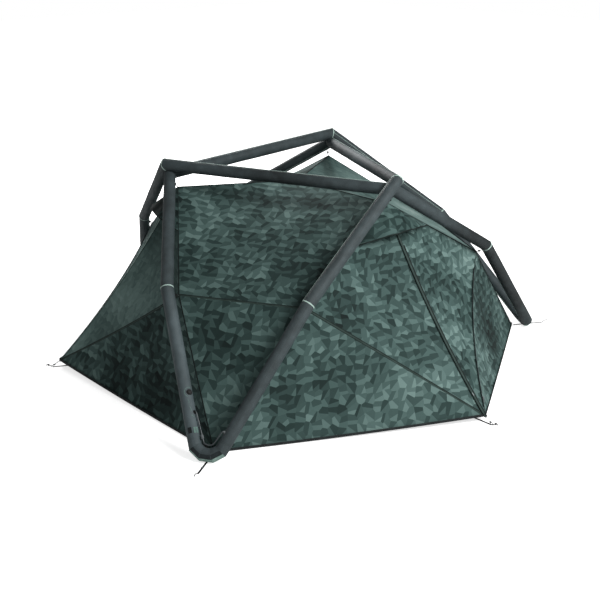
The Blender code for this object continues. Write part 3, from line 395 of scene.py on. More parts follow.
def printed_ripstop_fly(name, contrast=1.0, lift=0.0):
    """Coated polyester ripstop with a mosaic of crisp many-sided chips in greens, as printed."""
    material, tree, shader = new_material(name, 0.78, Specular_IOR_Level=0.1)
    coordinates = add(tree, "ShaderNodeTexCoord")
    uv = coordinates.outputs["UV"]
    # Chips are about 60 mm across, and each is printed in two tones, as if cut along its middle.
    chips = add(tree, "ShaderNodeTexVoronoi", {"Vector": uv, "Scale": 16.0, "Randomness": 0.6},
                voronoi_dimensions="2D")
    chance = add(tree, "ShaderNodeSeparateColor", {0: chips.outputs["Color"]})
    from_middle = add(tree, "ShaderNodeVectorMath", {0: uv, 1: chips.outputs["Position"]},
                      operation="SUBTRACT")
    turn = calculate(tree, "MULTIPLY_ADD", chance.outputs["Green"], 2.4, 0.2)
    swung = add(tree, "ShaderNodeVectorRotate", {
        "Vector": from_middle.outputs[0], "Center": (0.0, 0.0, 0.0), "Angle": turn},
        rotation_type="Z_AXIS")
    parts = add(tree, "ShaderNodeSeparateXYZ", {0: swung.outputs[0]})
    half = calculate(tree, "GREATER_THAN", parts.outputs["X"], 0.004)
    broad = noise(tree, chips.outputs["Position"], 2.2, 1.5, Roughness=0.45)
    # Below full contrast the chips draw together and the lift lightens them, for painted sheen.
    base = 0.215 * (1 - contrast) + lift
    patchy = add(tree, "ShaderNodeMapRange", {
        "Value": broad, 1: 0.3, 2: 0.7, 3: 0.11 + base, 4: 0.41 + base})
    chip = calculate(tree, "MULTIPLY_ADD", chance.outputs["Red"], 0.26 * contrast,
                     patchy.outputs[0])
    faced = calculate(tree, "MULTIPLY_ADD", half, 0.17 * contrast, chip)
    # Painted shade and painted light from the broad areas, added to the print's tone.
    shade = area_tone(tree, coordinates.outputs["Object"], painted_shade_and_light_areas)
    colour = tones(tree, calculate(tree, "ADD", faced, shade), [
        (0.0, "#141d1c"), (0.25, "#273735"), (0.5, "#465b58"), (0.75, "#69807c"),
        (1.0, "#92a5a0")])
    # Ripstop threads 5 mm apart, on a taffeta too fine to show.
    ripstop = weave_height(tree, uv, 0.005)
    dress(tree, shader, colour, (ripstop, 0.12, 0.0005), (noise(tree, uv, 4.0), 0.2, 0.02))
    return material


def plain_cloth(name, dark, light, roughness, pitch, scale=12.0):
    """Woven cloth of one colour, with a little variation and its threads as bump."""
    material, tree, shader = new_material(name, roughness, Specular_IOR_Level=0.25)
    uv = add(tree, "ShaderNodeTexCoord").outputs["UV"]
    colour = tones(tree, noise(tree, uv, scale, 3.0), [(0.35, dark), (0.65, light)])
    dress(tree, shader, colour, (weave_height(tree, uv, pitch), 0.3, 0.0006))
    return material


def moulded_plastic(name, dark, light, roughness, **sockets):
    """Injection moulded plastic: even colour with a fine spark-eroded grain."""
    material, tree, shader = new_material(name, roughness, **sockets)
    place = add(tree, "ShaderNodeTexCoord").outputs["Object"]
    colour = tones(tree, noise(tree, place, 60.0), [(0.35, dark), (0.65, light)])
    dress(tree, shader, colour, (noise(tree, place, 1500.0), 0.2, 0.0002))
    return material


sleeve_cloth = woven_polyester_sleeve()
fly_cloth = printed_ripstop_fly("printed ripstop fly")
# The same cloth with painted sheen and painted light: the print's contrast lowered and its tone
# lifted on panels that the light grazes.
painted_sheen_fly = printed_ripstop_fly("printed ripstop fly, faded", 0.35, 0.12)
# Polyurethane-coated binding tape: pale grey green, smooth, a little brighter than the cloth.
mint_tape = plain_cloth("coated binding tape", "#9db5ac", "#b6ccc4", 0.5, 0.002)
# Laminated wear patch on the soles: the same green, duller and scuffed.
sole_laminate = plain_cloth("laminated sole patch", "#6d8880", "#86a098", 0.55, 0.004, 25.0)
# Painted shade along the lower side of the feet: a near-black band where the underside of each gore
# falls into shade.
painted_shade_cloth = plain_cloth("black coated abrasion cloth", "#1a2122", "#242c2e", 0.8, 0.003)
# Screen-printed marks on the sleeves: thin, matt, dull green.
printed_mark = plain_cloth("screen-printed ink", "#58726b", "#69857d", 0.8, 0.004)
# Nylon webbing and seam tape: black, with a coarse rib.
webbing = plain_cloth("nylon webbing", "#15191a", "#222829", 0.7, 0.003)
# Folded and stitched seam: the fly's own cloth, four layers thick, so it reads as a darker line.
felled_seam = plain_cloth("felled seam", "#0f1917", "#182321", 0.85, 0.004)
# Unprinted coated polyester of the seam allowances and the zip flap.
plain_fly = plain_cloth("coated polyester lining", "#273531", "#32423e", 0.8, 0.005)
# Breathable polyester of the inner tent: pale grey, matt and thin.
inner_cloth = plain_cloth("breathable inner polyester", "#9aa3a1", "#b1b9b7", 0.85, 0.004)
# Polyurethane-coated floor cloth: black and slightly glossy.
floor_cloth = plain_cloth("coated floor cloth", "#101314", "#1a1f20", 0.45, 0.004)
# Braided polyester cord: dull grey green with a woven jacket.
braided_cord = plain_cloth("braided polyester cord", "#262c2c", "#3a4241", 0.8, 0.0016, 60.0)
# Moulded nylon of the valve, the toggles and the zip teeth: black, with a low sheen.
black_nylon = moulded_plastic("moulded black nylon", "#0b0c0c", "#121313", 0.55,
                              Specular_IOR_Level=0.25)
# Moulded acetal of the clamps, the keepers and the zip sliders: an even mid grey.
grey_acetal = moulded_plastic("moulded grey acetal", "#5c6264", "#6c7173", 0.5)
# Extruded polyurethane hose: dark grey, semi gloss.
hose_skin = moulded_plastic("extruded polyurethane hose", "#3f4548", "#4b5154", 0.4)
# Blown polyurethane film of the air chambers: milky and glossy.
bladder_film = moulded_plastic("blown polyurethane film", "#a5aba6", "#b8bdb8", 0.25)
# Hard anodised aluminium pegs: a matt black oxide that hides the metal under it.
peg_metal = moulded_plastic("hard anodised aluminium", "#0d0f10", "#171a1b", 0.6,
                            Specular_IOR_Level=0.3)


# Mesh tools

def linked(name, data):
    """A new object in the scene."""
    item = bpy.data.objects.new(name, data)
    bpy.context.scene.collection.objects.link(item)
    return item


def smooth_item(name, mesh, material, angle):
    """A new object whose faces shade into one another where they meet at less than the angle."""
    mesh.shade_smooth()
    mesh.set_sharp_from_angle(angle=math.radians(angle))
    mesh.materials.append(material)
    return linked(name, mesh)


def finish_piece(name, vertices, faces, material, uvs=None, angle=40):
    """A mesh object at the origin, with outward faces and a UV map in metres."""
    mesh = bpy.data.meshes.new(name)
    mesh.from_pydata([tuple(map(float, v)) for v in vertices], [], faces)
    if uvs is not None:
        layer = mesh.uv_layers.new(name="cut")
        for loop in mesh.loops:
            layer.data[loop.index].uv = uvs[loop.vertex_index]
    shape = bmesh.new()
    shape.from_mesh(mesh)
    bmesh.ops.recalc_face_normals(shape, faces=shape.faces)
    if shape.calc_volume(signed=True) < 0:
        bmesh.ops.reverse_faces(shape, faces=shape.faces)
    shape.to_mesh(mesh)
    shape.free()
    return smooth_item(name, mesh, material, angle)


def tube_faces(count, size, closed=False):
    """Faces between rings of points, with a cap on each end of an open tube."""
    faces = []
    for i in range(count if closed else count - 1):
        after = (i + 1) % count
        for k in range(size):
            n = (k + 1) % size
            faces.append((i * size + k, i * size + n, after * size + n, after * size + k))
    if not closed:
        faces += [tuple(range(size)), tuple(range((count - 1) * size, count * size))]
    return faces


def sheet_faces(rows, columns):
    """Faces of two layers of points and of the rim between them."""
    size = rows * columns
    faces = []
    for i in range(rows - 1):
        for k in range(columns - 1):
            a = i * columns + k
            cell = (a, a + 1, a + 1 + columns, a + columns)
            faces += [cell, tuple(size + corner for corner in reversed(cell))]
    rim = list(range(columns))
    rim += [i * columns + columns - 1 for i in range(1, rows)]
    rim += [(rows - 1) * columns + k for k in range(columns - 2, -1, -1)]
    rim += [i * columns for i in range(rows - 2, 0, -1)]
    return faces + [(b, a, size + a, size + b) for a, b in zip(rim, rim[1:] + rim[:1])]


def lengths_along(points):
    """How far along a path each of its points lies."""
    steps = np.linalg.norm(np.diff(points, axis=0), axis=1)
    return np.concatenate([[0], np.cumsum(steps)])


def sweep(name, points, ups, profile, material, closed=False):
    """A profile of (sideways, upwards) points carried along a path, with its ends capped."""
    points = np.asarray(points, float)
    if closed:
        tangents = unit(np.roll(points, -1, 0) - np.roll(points, 1, 0))
    else:
        tangents = unit(np.gradient(points, axis=0))
    ups = np.broadcast_to(np.asarray(ups, float), points.shape)
    ups = unit(ups - tangents * (ups * tangents).sum(1)[:, None])
    sides = np.cross(tangents, ups)
    run = lengths_along(points)
    vertices = []
    uvs = []
    for i, point in enumerate(points):
        for a, b in profile:
            vertices.append(point + sides[i] * a + ups[i] * b)
            uvs.append((a + b, run[i]))
    faces = tube_faces(len(points), len(profile), closed)
    return finish_piece(name, vertices, faces, material, uvs)


def round_profile(radius, sides):
    turns = [2 * math.pi * k / sides for k in range(sides)]
    return [(radius * math.cos(t), radius * math.sin(t)) for t in turns]


def flat_profile(width, height, low=0.0):
    """A strip with rounded edges."""
    w, e = width / 2, min(width, height) * 0.35
    return [(-w, low), (w, low), (w, low + height - e), (w - e, low + height),
            (-w + e, low + height), (-w, low + height - e)]


def smooth_route(points, count):
    """Even points on a Catmull-Rom curve through a route."""
    route = [2 * points[0] - points[1], *points, 2 * points[-1] - points[-2]]
    fine = []
    for a, b, c, d in zip(route, route[1:], route[2:], route[3:]):
        for t in np.linspace(0, 1, 12, endpoint=False):
            fine.append(0.5 * (
                2 * b + (c - a) * t + (2 * a - 5 * b + 4 * c - d) * t ** 2
                + (3 * b - a - 3 * c + d) * t ** 3))
    stack = np.array([*fine, points[-1]])
    lengths = lengths_along(stack)
    wanted = np.linspace(0, lengths[-1], count)
    return np.stack([np.interp(wanted, lengths, stack[:, axis]) for axis in range(3)], axis=1)


def placed(item, body="tent", nodes=(), turns=0):
    """Turns a piece to its foot or bay, gives it its body, and hides the CAD nodes it stands for."""
    if turns:
        item.data.transform(Matrix.Rotation(third_turn * turns, 4, "Z"))
    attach(item, body)
    if nodes:
        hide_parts(*nodes)
    return item


def repaint(node_name, material):
    """Gives a CAD node that keeps its own shape its finish."""
    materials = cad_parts[node_name].data.materials
    materials.clear()
    materials.append(material)


def joined(items, name):
    """Several meshes as one piece."""
    mesh = bpy.data.meshes.new(name)
    shape = bmesh.new()
    materials = []
    for item in items:
        before = len(shape.faces)
        shape.from_mesh(item.data)
        shape.faces.ensure_lookup_table()
        for face in shape.faces[before:]:
            face.material_index += len(materials)
        materials += item.data.materials
        bpy.data.objects.remove(item, do_unlink=True)
    shape.to_mesh(mesh)
    shape.free()
    for material in materials:
        mesh.materials.append(material)
    return linked(name, mesh)


# Repeated small things by geometry nodes

def beads_tree(name, material):
    """A node tree that sets small blocks along a polyline, evenly spaced."""
    tree = bpy.data.node_groups.new(name, "GeometryNodeTree")
    face = tree.interface
    face.new_socket("Geometry", in_out="INPUT", socket_type="NodeSocketGeometry")
    for label in ("Spacing", "Length", "Width", "Height"):
        face.new_socket(label, in_out="INPUT", socket_type="NodeSocketFloat")
    face.new_socket("Geometry", in_out="OUTPUT", socket_type="NodeSocketGeometry")
    source = add(tree, "NodeGroupInput")
    line = add(tree, "GeometryNodeMeshToCurve", {"Mesh": source.outputs["Geometry"]})
    dots = add(tree, "GeometryNodeCurveToPoints", {
        "Curve": line.outputs[0], "Length": source.outputs["Spacing"]}, mode="LENGTH")
    size = add(tree, "ShaderNodeCombineXYZ", {
        "X": source.outputs["Width"], "Y": source.outputs["Height"],
        "Z": source.outputs["Length"]})
    block = add(tree, "GeometryNodeMeshCube", {"Size": size.outputs[0]})
    set_on = add(tree, "GeometryNodeInstanceOnPoints", {
        "Points": dots.outputs["Points"], "Instance": block.outputs[0],
        "Rotation": dots.outputs["Rotation"]})
    real = add(tree, "GeometryNodeRealizeInstances", {0: set_on.outputs[0]})
    dyed = add(tree, "GeometryNodeSetMaterial", {"Geometry": real.outputs[0],
                                                 "Material": material})
    add(tree, "NodeGroupOutput", {0: dyed.outputs[0]})
    return tree


def beads(name, points, tree, **sizes):
    """Blocks along a path, as a plain mesh."""
    mesh = bpy.data.meshes.new(name + "_line")
    mesh.from_pydata([tuple(map(float, p)) for p in points],
                     [(i, i + 1) for i in range(len(points) - 1)], [])
    guide = linked(name + "_line", mesh)
    maker = guide.modifiers.new("beads", "NODES")
    maker.node_group = tree
    for socket in tree.interface.items_tree:
        if socket.in_out == "INPUT" and socket.name in sizes:
            maker[socket.identifier] = sizes[socket.name]
    graph = bpy.context.evaluated_depsgraph_get()
    graph.update()
    result = bpy.data.meshes.new_from_object(guide.evaluated_get(graph))
    result.name = name
    bpy.data.objects.remove(guide, do_unlink=True)
    return linked(name, result)


zip_teeth = beads_tree("zip teeth", black_nylon)
stitches = beads_tree("stitches", braided_cord)


# Tube sleeves

def strand_gap(points, strand):
    """The distance from each point to a polyline, and its nearest place on it."""
    best = np.full(len(points), np.inf)
    near = np.zeros_like(points)
    for a, b in zip(strand, strand[1:]):
        span = b - a
        share = np.clip((points - a) @ span / (span @ span), 0, 1)
        place = a + share[:, None] * span
        gap = np.linalg.norm(points - place, axis=1)
        closer = gap < best
        best[closer] = gap[closer]
        near[closer] = place[closer]
    return best, near


def press_under(points):
    """The under tube's skin, pressed in where the over tube lies on it."""
    clear = tube_radius + press_clearance
    points = points.copy()
    for _ in range(40):
        gap, near = strand_gap(points, upper_strand)
        low = gap < clear
        if not low.any():
            break
        away = (points[low] - near[low]) / gap[low][:, None]
        away = unit(away - press_plane * (away @ press_plane)[:, None])
        points[low] += away * (clear - gap[low] + 0.00001)[:, None]
    return points


def tube_frame(start, end):
    """The way along a tube, the way out from the tent, and the way across both."""
    along = unit(end - start)
    out = (start + end) / 2 - dome_centre
    out = unit(out - along * (out @ along))
    return along, out, np.cross(along, out)


def mitre_ends(start, end, planes, rim, radius):
    """How far along a tube its lengthwise lines meet its two mitre planes."""
    along = unit(end - start)
    first = -radius * (rim @ planes[0]) / (along @ planes[0])
    last = np.linalg.norm(end - start) - radius * (rim @ planes[1]) / (along @ planes[1])
    return first, last


def generators(start, end, planes, around):
    """The lengthwise lines of a tube, and where each meets the two mitre planes."""
    along, out, across = tube_frame(start, end)
    turns = np.linspace(0, 2 * math.pi, around, endpoint=False)
    rim = np.cos(turns)[:, None] * out + np.sin(turns)[:, None] * across
    return along, rim, turns, *mitre_ends(start, end, planes, rim, tube_radius)


def eased(points, depth, corner, inward, along, plane):
    """Points near a bend drawn in from its sharp outer corner, as the pressed-out cloth is."""
    if inward is None:
        return points
    tip = tube_radius / abs(float(along @ plane))
    share = np.clip(-((points - corner) @ inward) / tip, 0, 1) ** 2
    draw = bend_easing * (tip - tube_radius) * share * np.exp(-np.abs(depth) / 0.035)
    return points + inward * draw[:, None]


def sewn_radius(turns, place, depth, facing, seed):
    """A sleeve's radius: pinched and puckered near its end seam, creased inside a bend."""
    pinch = seam_pinch * np.exp(-depth / 0.004)
    pucker = seam_pucker * np.exp(-depth / 0.03) * np.sin(13 * turns + seed)
    pucker += 0.0004 * np.exp(-depth / 0.02) * np.sin(29 * turns + 2 * seed)
    wave = np.sin(2 * math.pi * depth / crease_pitch)
    crease = bend_crease * facing * np.exp(-depth / 0.03) * wave
    soft = skin_ripple * np.sin(place * 9 + 2 * turns + seed)
    soft += 0.0003 * np.sin(place * 23 - 3 * turns + seed)
    return tube_radius - pinch + pucker + crease + soft * (1 - np.exp(-depth / 0.02))


def inflated_sleeve(name, start, end, planes, pressed=False, inner=(None, None)):
    """One sewn sleeve, with close rows of points near its end seams."""
    around = 36 * detail
    along, rim, turns, first, last = generators(start, end, planes, around)
    steps = seam_steps
    if float((last - first).min()) < short_sleeve:
        steps = seam_steps[:5] / 2
    room = pressed_row_gap if pressed else row_gap
    middle = max(2, int((np.linalg.norm(end - start) - 2 * steps[-1]) / room))
    rows = [(first + depth, depth, 0) for depth in steps]
    inner_first, inner_last = first + steps[-1], last - steps[-1]
    for share in np.linspace(0, 1, middle + 1)[1:-1]:
        rows.append((inner_first + (inner_last - inner_first) * share, 1.0, 0))
    rows += [(last - depth, depth, 1) for depth in steps[::-1]]
    seed = sum(ord(letter) for letter in name)
    points = []
    uvs = []
    for place, depth, side in rows:
        facing = 0.0 if inner[side] is None else np.clip(rim @ inner[side], 0, 1) ** 2
        radius = sewn_radius(turns, place, depth, facing, seed)
        row = start + along * place[:, None] + rim * radius[:, None]
        points.append(eased(row, depth, (start, end)[side], inner[side], along, planes[side]))
        uvs.append(np.stack([turns * tube_radius, place], axis=1))
    points = np.concatenate(points)
    if pressed:
        points = press_under(points)
    return finish_piece(name, points, tube_faces(len(rows), around), sleeve_cloth,
                        np.concatenate(uvs), angle=60)


def seam_ring(name, start, end, plane, material=mint_tape, width=tape_width, lift=tape_lift,
              inward=None):
    """A band of tape round the seam where two sleeves meet."""
    along, rim, _, first, _ = generators(start, end, (plane, plane), 64)
    points = start + along * first[:, None] + rim * (tube_radius - tape_sink)
    points = eased(points, 0.0, start, inward, along, plane)
    return sweep(name, points, rim, flat_profile(width, lift + tape_sink), material, closed=True)


def seam_line(name, start, end, planes, turn, pressed=False, inner=(None, None)):
    """A thin piping along a sleeve's lengthwise seam."""
    along, out, across = tube_frame(start, end)
    side = math.cos(turn) * out + math.sin(turn) * across
    first, last = mitre_ends(start, end, planes, side, tube_radius)
    first, last = first + piping_end_gap, last - piping_end_gap
    places = np.linspace(first, last, 60)
    points = start + places[:, None] * along + side * (tube_radius + piping_radius * 0.3)
    points = eased(points, places - first, start, inner[0], along, planes[0])
    points = eased(points, last - places, end, inner[1], along, planes[1])
    if pressed:
        points = press_under(points)
    return sweep(name, points, side, round_profile(piping_radius, 6), mint_tape)


def mitre(before, corner, after):
    return unit(unit(corner - before) + unit(after - corner))


def inside(before, corner, after):
    """The way from a bend's corner to its inner side, in the mitre plane."""
    return unit(unit(before - corner) + unit(after - corner))


def make_sleeves():
    bends = {
        "over_bend": (foot.apex, over_bend, over_node),
        "over_node": (over_bend, over_node, under_node),
        "under_bend": (under_node, under_bend, turned(foot.apex, 2)),
        "under_low": (foot.apex, foot.under_bend, turned(under_node, 1)),
    }
    plane = {name: mitre(*stops) for name, stops in bends.items()}
    inward = {name: inside(*stops) for name, stops in bends.items()}
    over_seam = foot.on_leg("over", foot_sleeve_rise)
    under_seam = foot.on_leg("under", foot_sleeve_rise)
    # Each sleeve: its ends, mitre planes, whether it is pressed, bends and seam's turn in degrees
    runs = [
        ("over_lower_leg", over_seam, over_bend, (foot.over_leg, plane["over_bend"]), False,
         (None, inward["over_bend"]), 180),
        ("over_upper_leg", over_bend, over_node, (plane["over_bend"], plane["over_node"]), False,
         (inward["over_bend"], inward["over_node"]), -92),
        ("top_bar", over_node, under_node, (plane["over_node"], press_plane), True,
         (inward["over_node"], None), -20),
        ("under_upper_leg", under_node, under_bend, (press_plane, plane["under_bend"]), True,
         (None, inward["under_bend"]), 180),
        ("under_lower_leg", under_seam, foot.under_bend, (foot.under_leg, plane["under_low"]),
         False, (None, inward["under_low"]), 180),
    ]
    for k, label in enumerate(foot_names):
        for kind, start, end, planes, pressed, inner, turn in runs:
            name = f"sleeve_{label}_{kind}"
            body = inflated_sleeve(name + "_cloth", start, end, planes, pressed, inner)
            line = seam_line(name + "_line", start, end, planes, math.radians(turn), pressed,
                             inner)
            placed(body, nodes=[name], turns=k)
            placed(line, turns=k)
        for tag, start, end in (("over_bend", over_bend, over_node),
                                ("over_node", over_node, over_bend),
                                ("under_bend", under_bend, under_node)):
            band = seam_ring(f"binding_{label}_{tag}", start, end, plane[tag], inward=inward[tag])
            placed(band, turns=k)
        for tag, start, end, leg in (("over", over_seam, over_bend, foot.over_leg),
                                     ("under", under_seam, foot.under_bend, foot.under_leg)):
            band = seam_ring(f"seam_{label}_{tag}_foot", start, end, leg, sleeve_cloth, 0.006,
                             0.0008)
            placed(band, turns=k)


# Feet

def make_feet():
    corners = foot.corners()
    stops = [foot.on_leg("under", foot_sleeve_rise), *corners,
             foot.on_leg("over", foot_sleeve_rise)]
    planes = [mitre(*three) for three in zip(stops, stops[1:], stops[2:])]
    planes = [unit(stops[1] - stops[0]), *planes, unit(stops[-1] - stops[-2])]
    for k, label in enumerate(foot_names):
        gores = [inflated_sleeve(f"gore_{i}", stops[i], stops[i + 1], planes[i:i + 2], False,
                                 (foot.up, foot.up)) for i in range(len(stops) - 1)]
        placed(joined(gores, f"foot_{label}_gores"), nodes=[f"sleeve_{label}_foot"], turns=k)
        for i, corner in enumerate(corners):
            band = seam_ring(f"foot_{label}_seam_{i}", corner, stops[i + 2], planes[i + 1],
                             sleeve_cloth, 0.004, 0.0006)
            placed(band, turns=k)
        for i in range(1, len(stops) - 2):
            # Painted shade: a wide near-black band on each gore, with the laminated sole over its
            # middle.
            for tag, material, half, lift in (("wear_band", painted_shade_cloth, 92, 0.0006),
                                              ("sole", sole_laminate, 52, 0.0011)):
                patch = sole_patch(f"foot_{label}_{tag}_{i}", stops[i], stops[i + 1],
                                   planes[i:i + 2], material, math.radians(half), lift)
                placed(patch, turns=k)
        make_foot_strap(label, k)


def sole_patch(name, start, end, planes, material, half, lift):
    """A patch on the outer side of one gore, used for the laminated sole and for the wider band of
    painted shade beneath it.
    """
    along = unit(end - start)
    down = unit((start + end) / 2 - foot.centre)
    down = unit(down - along * (down @ along))
    across = np.cross(along, down)
    points = []
    uvs = []
    for radius in (tube_radius + lift, tube_radius - tape_sink):
        for share in np.linspace(0, 1, patch_rows):
            for turn in np.linspace(-half, half, patch_columns) + patch_swing:
                rim = math.cos(turn) * down + math.sin(turn) * across
                first, last = mitre_ends(start, end, planes, rim, radius)
                place = first + 0.001 + (last - first - 0.002) * share
                points.append(start + along * place + rim * radius)
                uvs.append((turn * radius, place))
    return finish_piece(name, points, sheet_faces(patch_rows, patch_columns), material, uvs)


def make_foot_strap(label, turns):
    """The pegging strap sewn under a foot, with its keeper and its stitches."""
    azimuth = first_foot_azimuth
    upward = (0.0, 0.0, 1.0)
    reaches = np.linspace(foot_strap_start, foot_strap_end, 7)
    strap = sweep(f"foot_{label}_strap", [polar(r, azimuth, strap_level) for r in reaches],
                  upward, flat_profile(strap_width, strap_height), webbing)
    placed(strap, turns=turns)
    keeper = sweep(f"foot_{label}_keeper", [polar(r, azimuth, strap_level) for r in keeper_ends],
                   upward, flat_profile(strap_width + 0.003, keeper_height), grey_acetal)
    placed(keeper, turns=turns)
    for side in (-1, 1):
        offset = polar(1, azimuth + math.pi / 2, 0) * strap_width * 0.33 * side
        level = strap_level + strap_height + 0.0002
        line = [polar(r, azimuth, level) + offset for r in strap_stitch_ends]
        row = beads(f"foot_{label}_stitches_{side + 1}", line, stitches, Spacing=0.005,
                    Length=0.003, Width=0.0012, Height=0.0006)
        placed(row, turns=turns)


# Fly panels

def fly_top(bay):
    azimuth = node_azimuth + third_turn * bay
    reach = tube_radius + top_hanger
    return polar(top_node_radius - crossing_reach / 2 - reach * math.cos(top_hanger_slope),
                 azimuth,
                 top_node_height - crossing_rise / 2 - reach * math.sin(top_hanger_slope))


def fly_bend(foot_index, side):
    azimuth = first_foot_azimuth + third_turn * foot_index + side * fly_bend_turn
    reach = tube_radius + bend_hanger
    return polar(over_bend_radius - reach * math.cos(bend_hanger_slope), azimuth,
                 over_bend_height - reach * math.sin(bend_hanger_slope))


def fly_foot_corner(foot_index):
    return polar(fly_corner_radius, first_foot_azimuth + third_turn * foot_index,
                 foot_corner_height)


def fly_bay_corner(bay):
    return polar(fly_corner_radius, node_azimuth + third_turn * bay, bay_corner_height)


def seam_points(start, end, sag=0.0, shares=None):
    """Points of a seam that is drawn in towards the middle of the tent."""
    t = (np.linspace(0, 1, 25) if shares is None else np.asarray(shares))[:, None]
    inward = unit(dome_centre - (start + end) / 2)
    return start + (end - start) * t + inward * sag * 4 * t * (1 - t)


def hem_points(foot_corner, bay_corner):
    t = np.linspace(0, 1, 25)[:, None]
    points = foot_corner + (bay_corner - foot_corner) * t
    points[:, 2] = (foot_corner[2] + (bay_corner[2] - foot_corner[2]) * t ** 2)[:, 0]
    return points


def bay_edges(bay, side):
    """The edges and corners of one half of a bay."""
    foot_index = bay if side < 0 else (bay + 1) % 3
    top, corner = fly_top(bay), fly_bay_corner(bay)
    bend, foot_corner = fly_bend(foot_index, -side), fly_foot_corner(foot_index)
    return {
        "ridge": seam_points(top, corner, ridge_sag), "top": seam_points(top, bend),
        "seam": seam_points(bend, corner, seam_sag), "leg": seam_points(foot_corner, bend),
        "hem": hem_points(foot_corner, corner), "top_point": top, "bend_point": bend,
        "corner": corner, "foot_corner": foot_corner,
    }


def resampled(points, count):
    points = np.asarray(points)
    places = np.linspace(0, len(points) - 1, count)
    low = np.floor(places).astype(int).clip(0, len(points) - 2)
    share = (places - low)[:, None]
    return points[low] * (1 - share) + points[low + 1] * share


def straight(edge, shares):
    """Points on the straight line between an edge's ends."""
    return edge[0] + (edge[-1] - edge[0]) * shares


def fan_patch(left, right, base):
    """A three-sided sheet: its rows run from the left edge to the right, and open from a point."""
    left, right, base = (resampled(edge, sheet_points) for edge in (left, right, base))
    across = np.linspace(0, 1, sheet_points)[:, None]
    bow = base - straight(base, across)
    return left[:, None] + (right - left)[:, None] * across + bow * across[:, None]


def four_patch(*edges):
    """A four-sided sheet between its top, bottom, left and right edges."""
    top, bottom, left, right = (resampled(edge, sheet_points) for edge in edges)
    across = np.linspace(0, 1, sheet_points)[:, None]
    down = across[:, None]
    sideways = left[:, None] + (right - left)[:, None] * across
    flat = (1 - down) * straight(top, across) + down * straight(bottom, across)
    return sideways + top + (bottom - top) * down - flat


def tension_folds(grid, anchors, seed):
    """Shallow folds that fan out from the corners the cords pull on, and soft billow."""
    flat = grid.reshape(-1, 3)
    middle = flat.mean(0)
    normal = unit(middle - dome_centre)
    rows, columns = grid.shape[:2]
    i = np.linspace(0, 1, rows)[:, None]
    k = np.linspace(0, 1, columns)
    still = np.minimum(1, 8 * np.minimum(np.minimum(i, 1 - i), np.minimum(k, 1 - k)))
    offset = billow_depth * np.sin(flat @ np.array([2.1, 1.3, 2.9]) + seed)
    for corner in anchors:
        way = unit(middle - corner)
        from_corner = flat - corner
        distance = np.linalg.norm(from_corner, axis=1) + 1e-6
        angle = np.arctan2(from_corner @ np.cross(normal, way), from_corner @ way)
        fade = np.exp(-distance / 0.28) * np.minimum(1, distance / 0.05)
        offset += fold_depth * fade * np.cos(11 * angle + seed)
    return (flat + normal * (offset * still.reshape(-1))[:, None]).reshape(grid.shape)


def cut_axes(normal):
    """The sideways and upward ways of a flat pattern that lies across a normal."""
    for upward in (np.array([0.0, 0.0, 1.0]), np.array([0.0, 1.0, 0.0])):
        upward = upward - normal * (upward @ normal)
        if np.linalg.norm(upward) > 0.3:
            break
    upward = unit(upward)
    return np.cross(upward, normal), upward


def cloth_piece(name, grid, nodes, shift=(0.0, 0.0), material=fly_cloth,
                body="tent"):
    """A grid of points made a thin closed sheet; the size it was cut to is worked out but not kept.
    """
    flat = grid.reshape(-1, 3)
    out = unit(flat.mean(0) - dome_centre)
    normals = np.cross(np.gradient(grid, axis=1), np.gradient(grid, axis=0)).reshape(-1, 3)
    normals[np.linalg.norm(normals, axis=1) < 1e-12] = out
    normals = unit(normals)
    normals[(normals @ out) < 0] *= -1
    side, up = cut_axes(out)
    uv = np.stack([flat @ side + shift[0], flat @ up + shift[1]], axis=1)
    item = finish_piece(name, np.concatenate([flat, flat - normals * cloth_thickness]),
                        sheet_faces(*grid.shape[:2]), material, np.concatenate([uv, uv]),
                        angle=70)
    shape = bmesh.new()
    shape.from_mesh(item.data)
    bmesh.ops.remove_doubles(shape, verts=shape.verts, dist=0.00001)
    bmesh.ops.dissolve_degenerate(shape, edges=shape.edges, dist=0.00001)
    bmesh.ops.recalc_face_normals(shape, faces=shape.faces)
    area = sum(face.calc_area() for face in shape.faces) / 2
    shape.to_mesh(item.data)
    shape.free()
    placed(item, body, nodes)
    width, length = map(float, uv.max(0) - uv.min(0))
    fit = area / (width * length)
    if fit > 1:
        width *= fit * 1.01


def outward(points):
    """The way out from the middle of the tent at each point."""
    return np.asarray(points) - dome_centre


def seam_strip(name, points, width=0.010, height=0.0022, material=felled_seam, body="tent"):
    """A flat strip along a seam, facing out from the tent."""
    strip = sweep(name, points, outward(points), flat_profile(width, height, -seam_sink),
                  material)
    placed(strip, body)


def settled(grid):
    """The sheet drawn tight between its edges."""
    for _ in range(1500):
        grid[1:-1, 1:-1] = (grid[:-2, 1:-1] + grid[2:, 1:-1] + grid[1:-1, :-2]
                            + grid[1:-1, 2:]) / 4
    return grid


def make_fly():
    tops = [fly_top(bay) for bay in range(3)]
    peak = sum(tops) / 3
    for top, label in zip(tops, bay_names):
        strip = sweep(f"roof_seam_{label}", seam_points(top, peak + np.array([0, 0, 0.001])),
                      (0.0, 0.0, 1.0), flat_profile(0.010, 0.003, -seam_sink), felled_seam)
        placed(strip)
    for k, label in enumerate(foot_names):
        make_foot_side(k, label, tops[(k + 2) % 3], peak, tops[k])
    for bay in range(3):
        make_bay(bay)


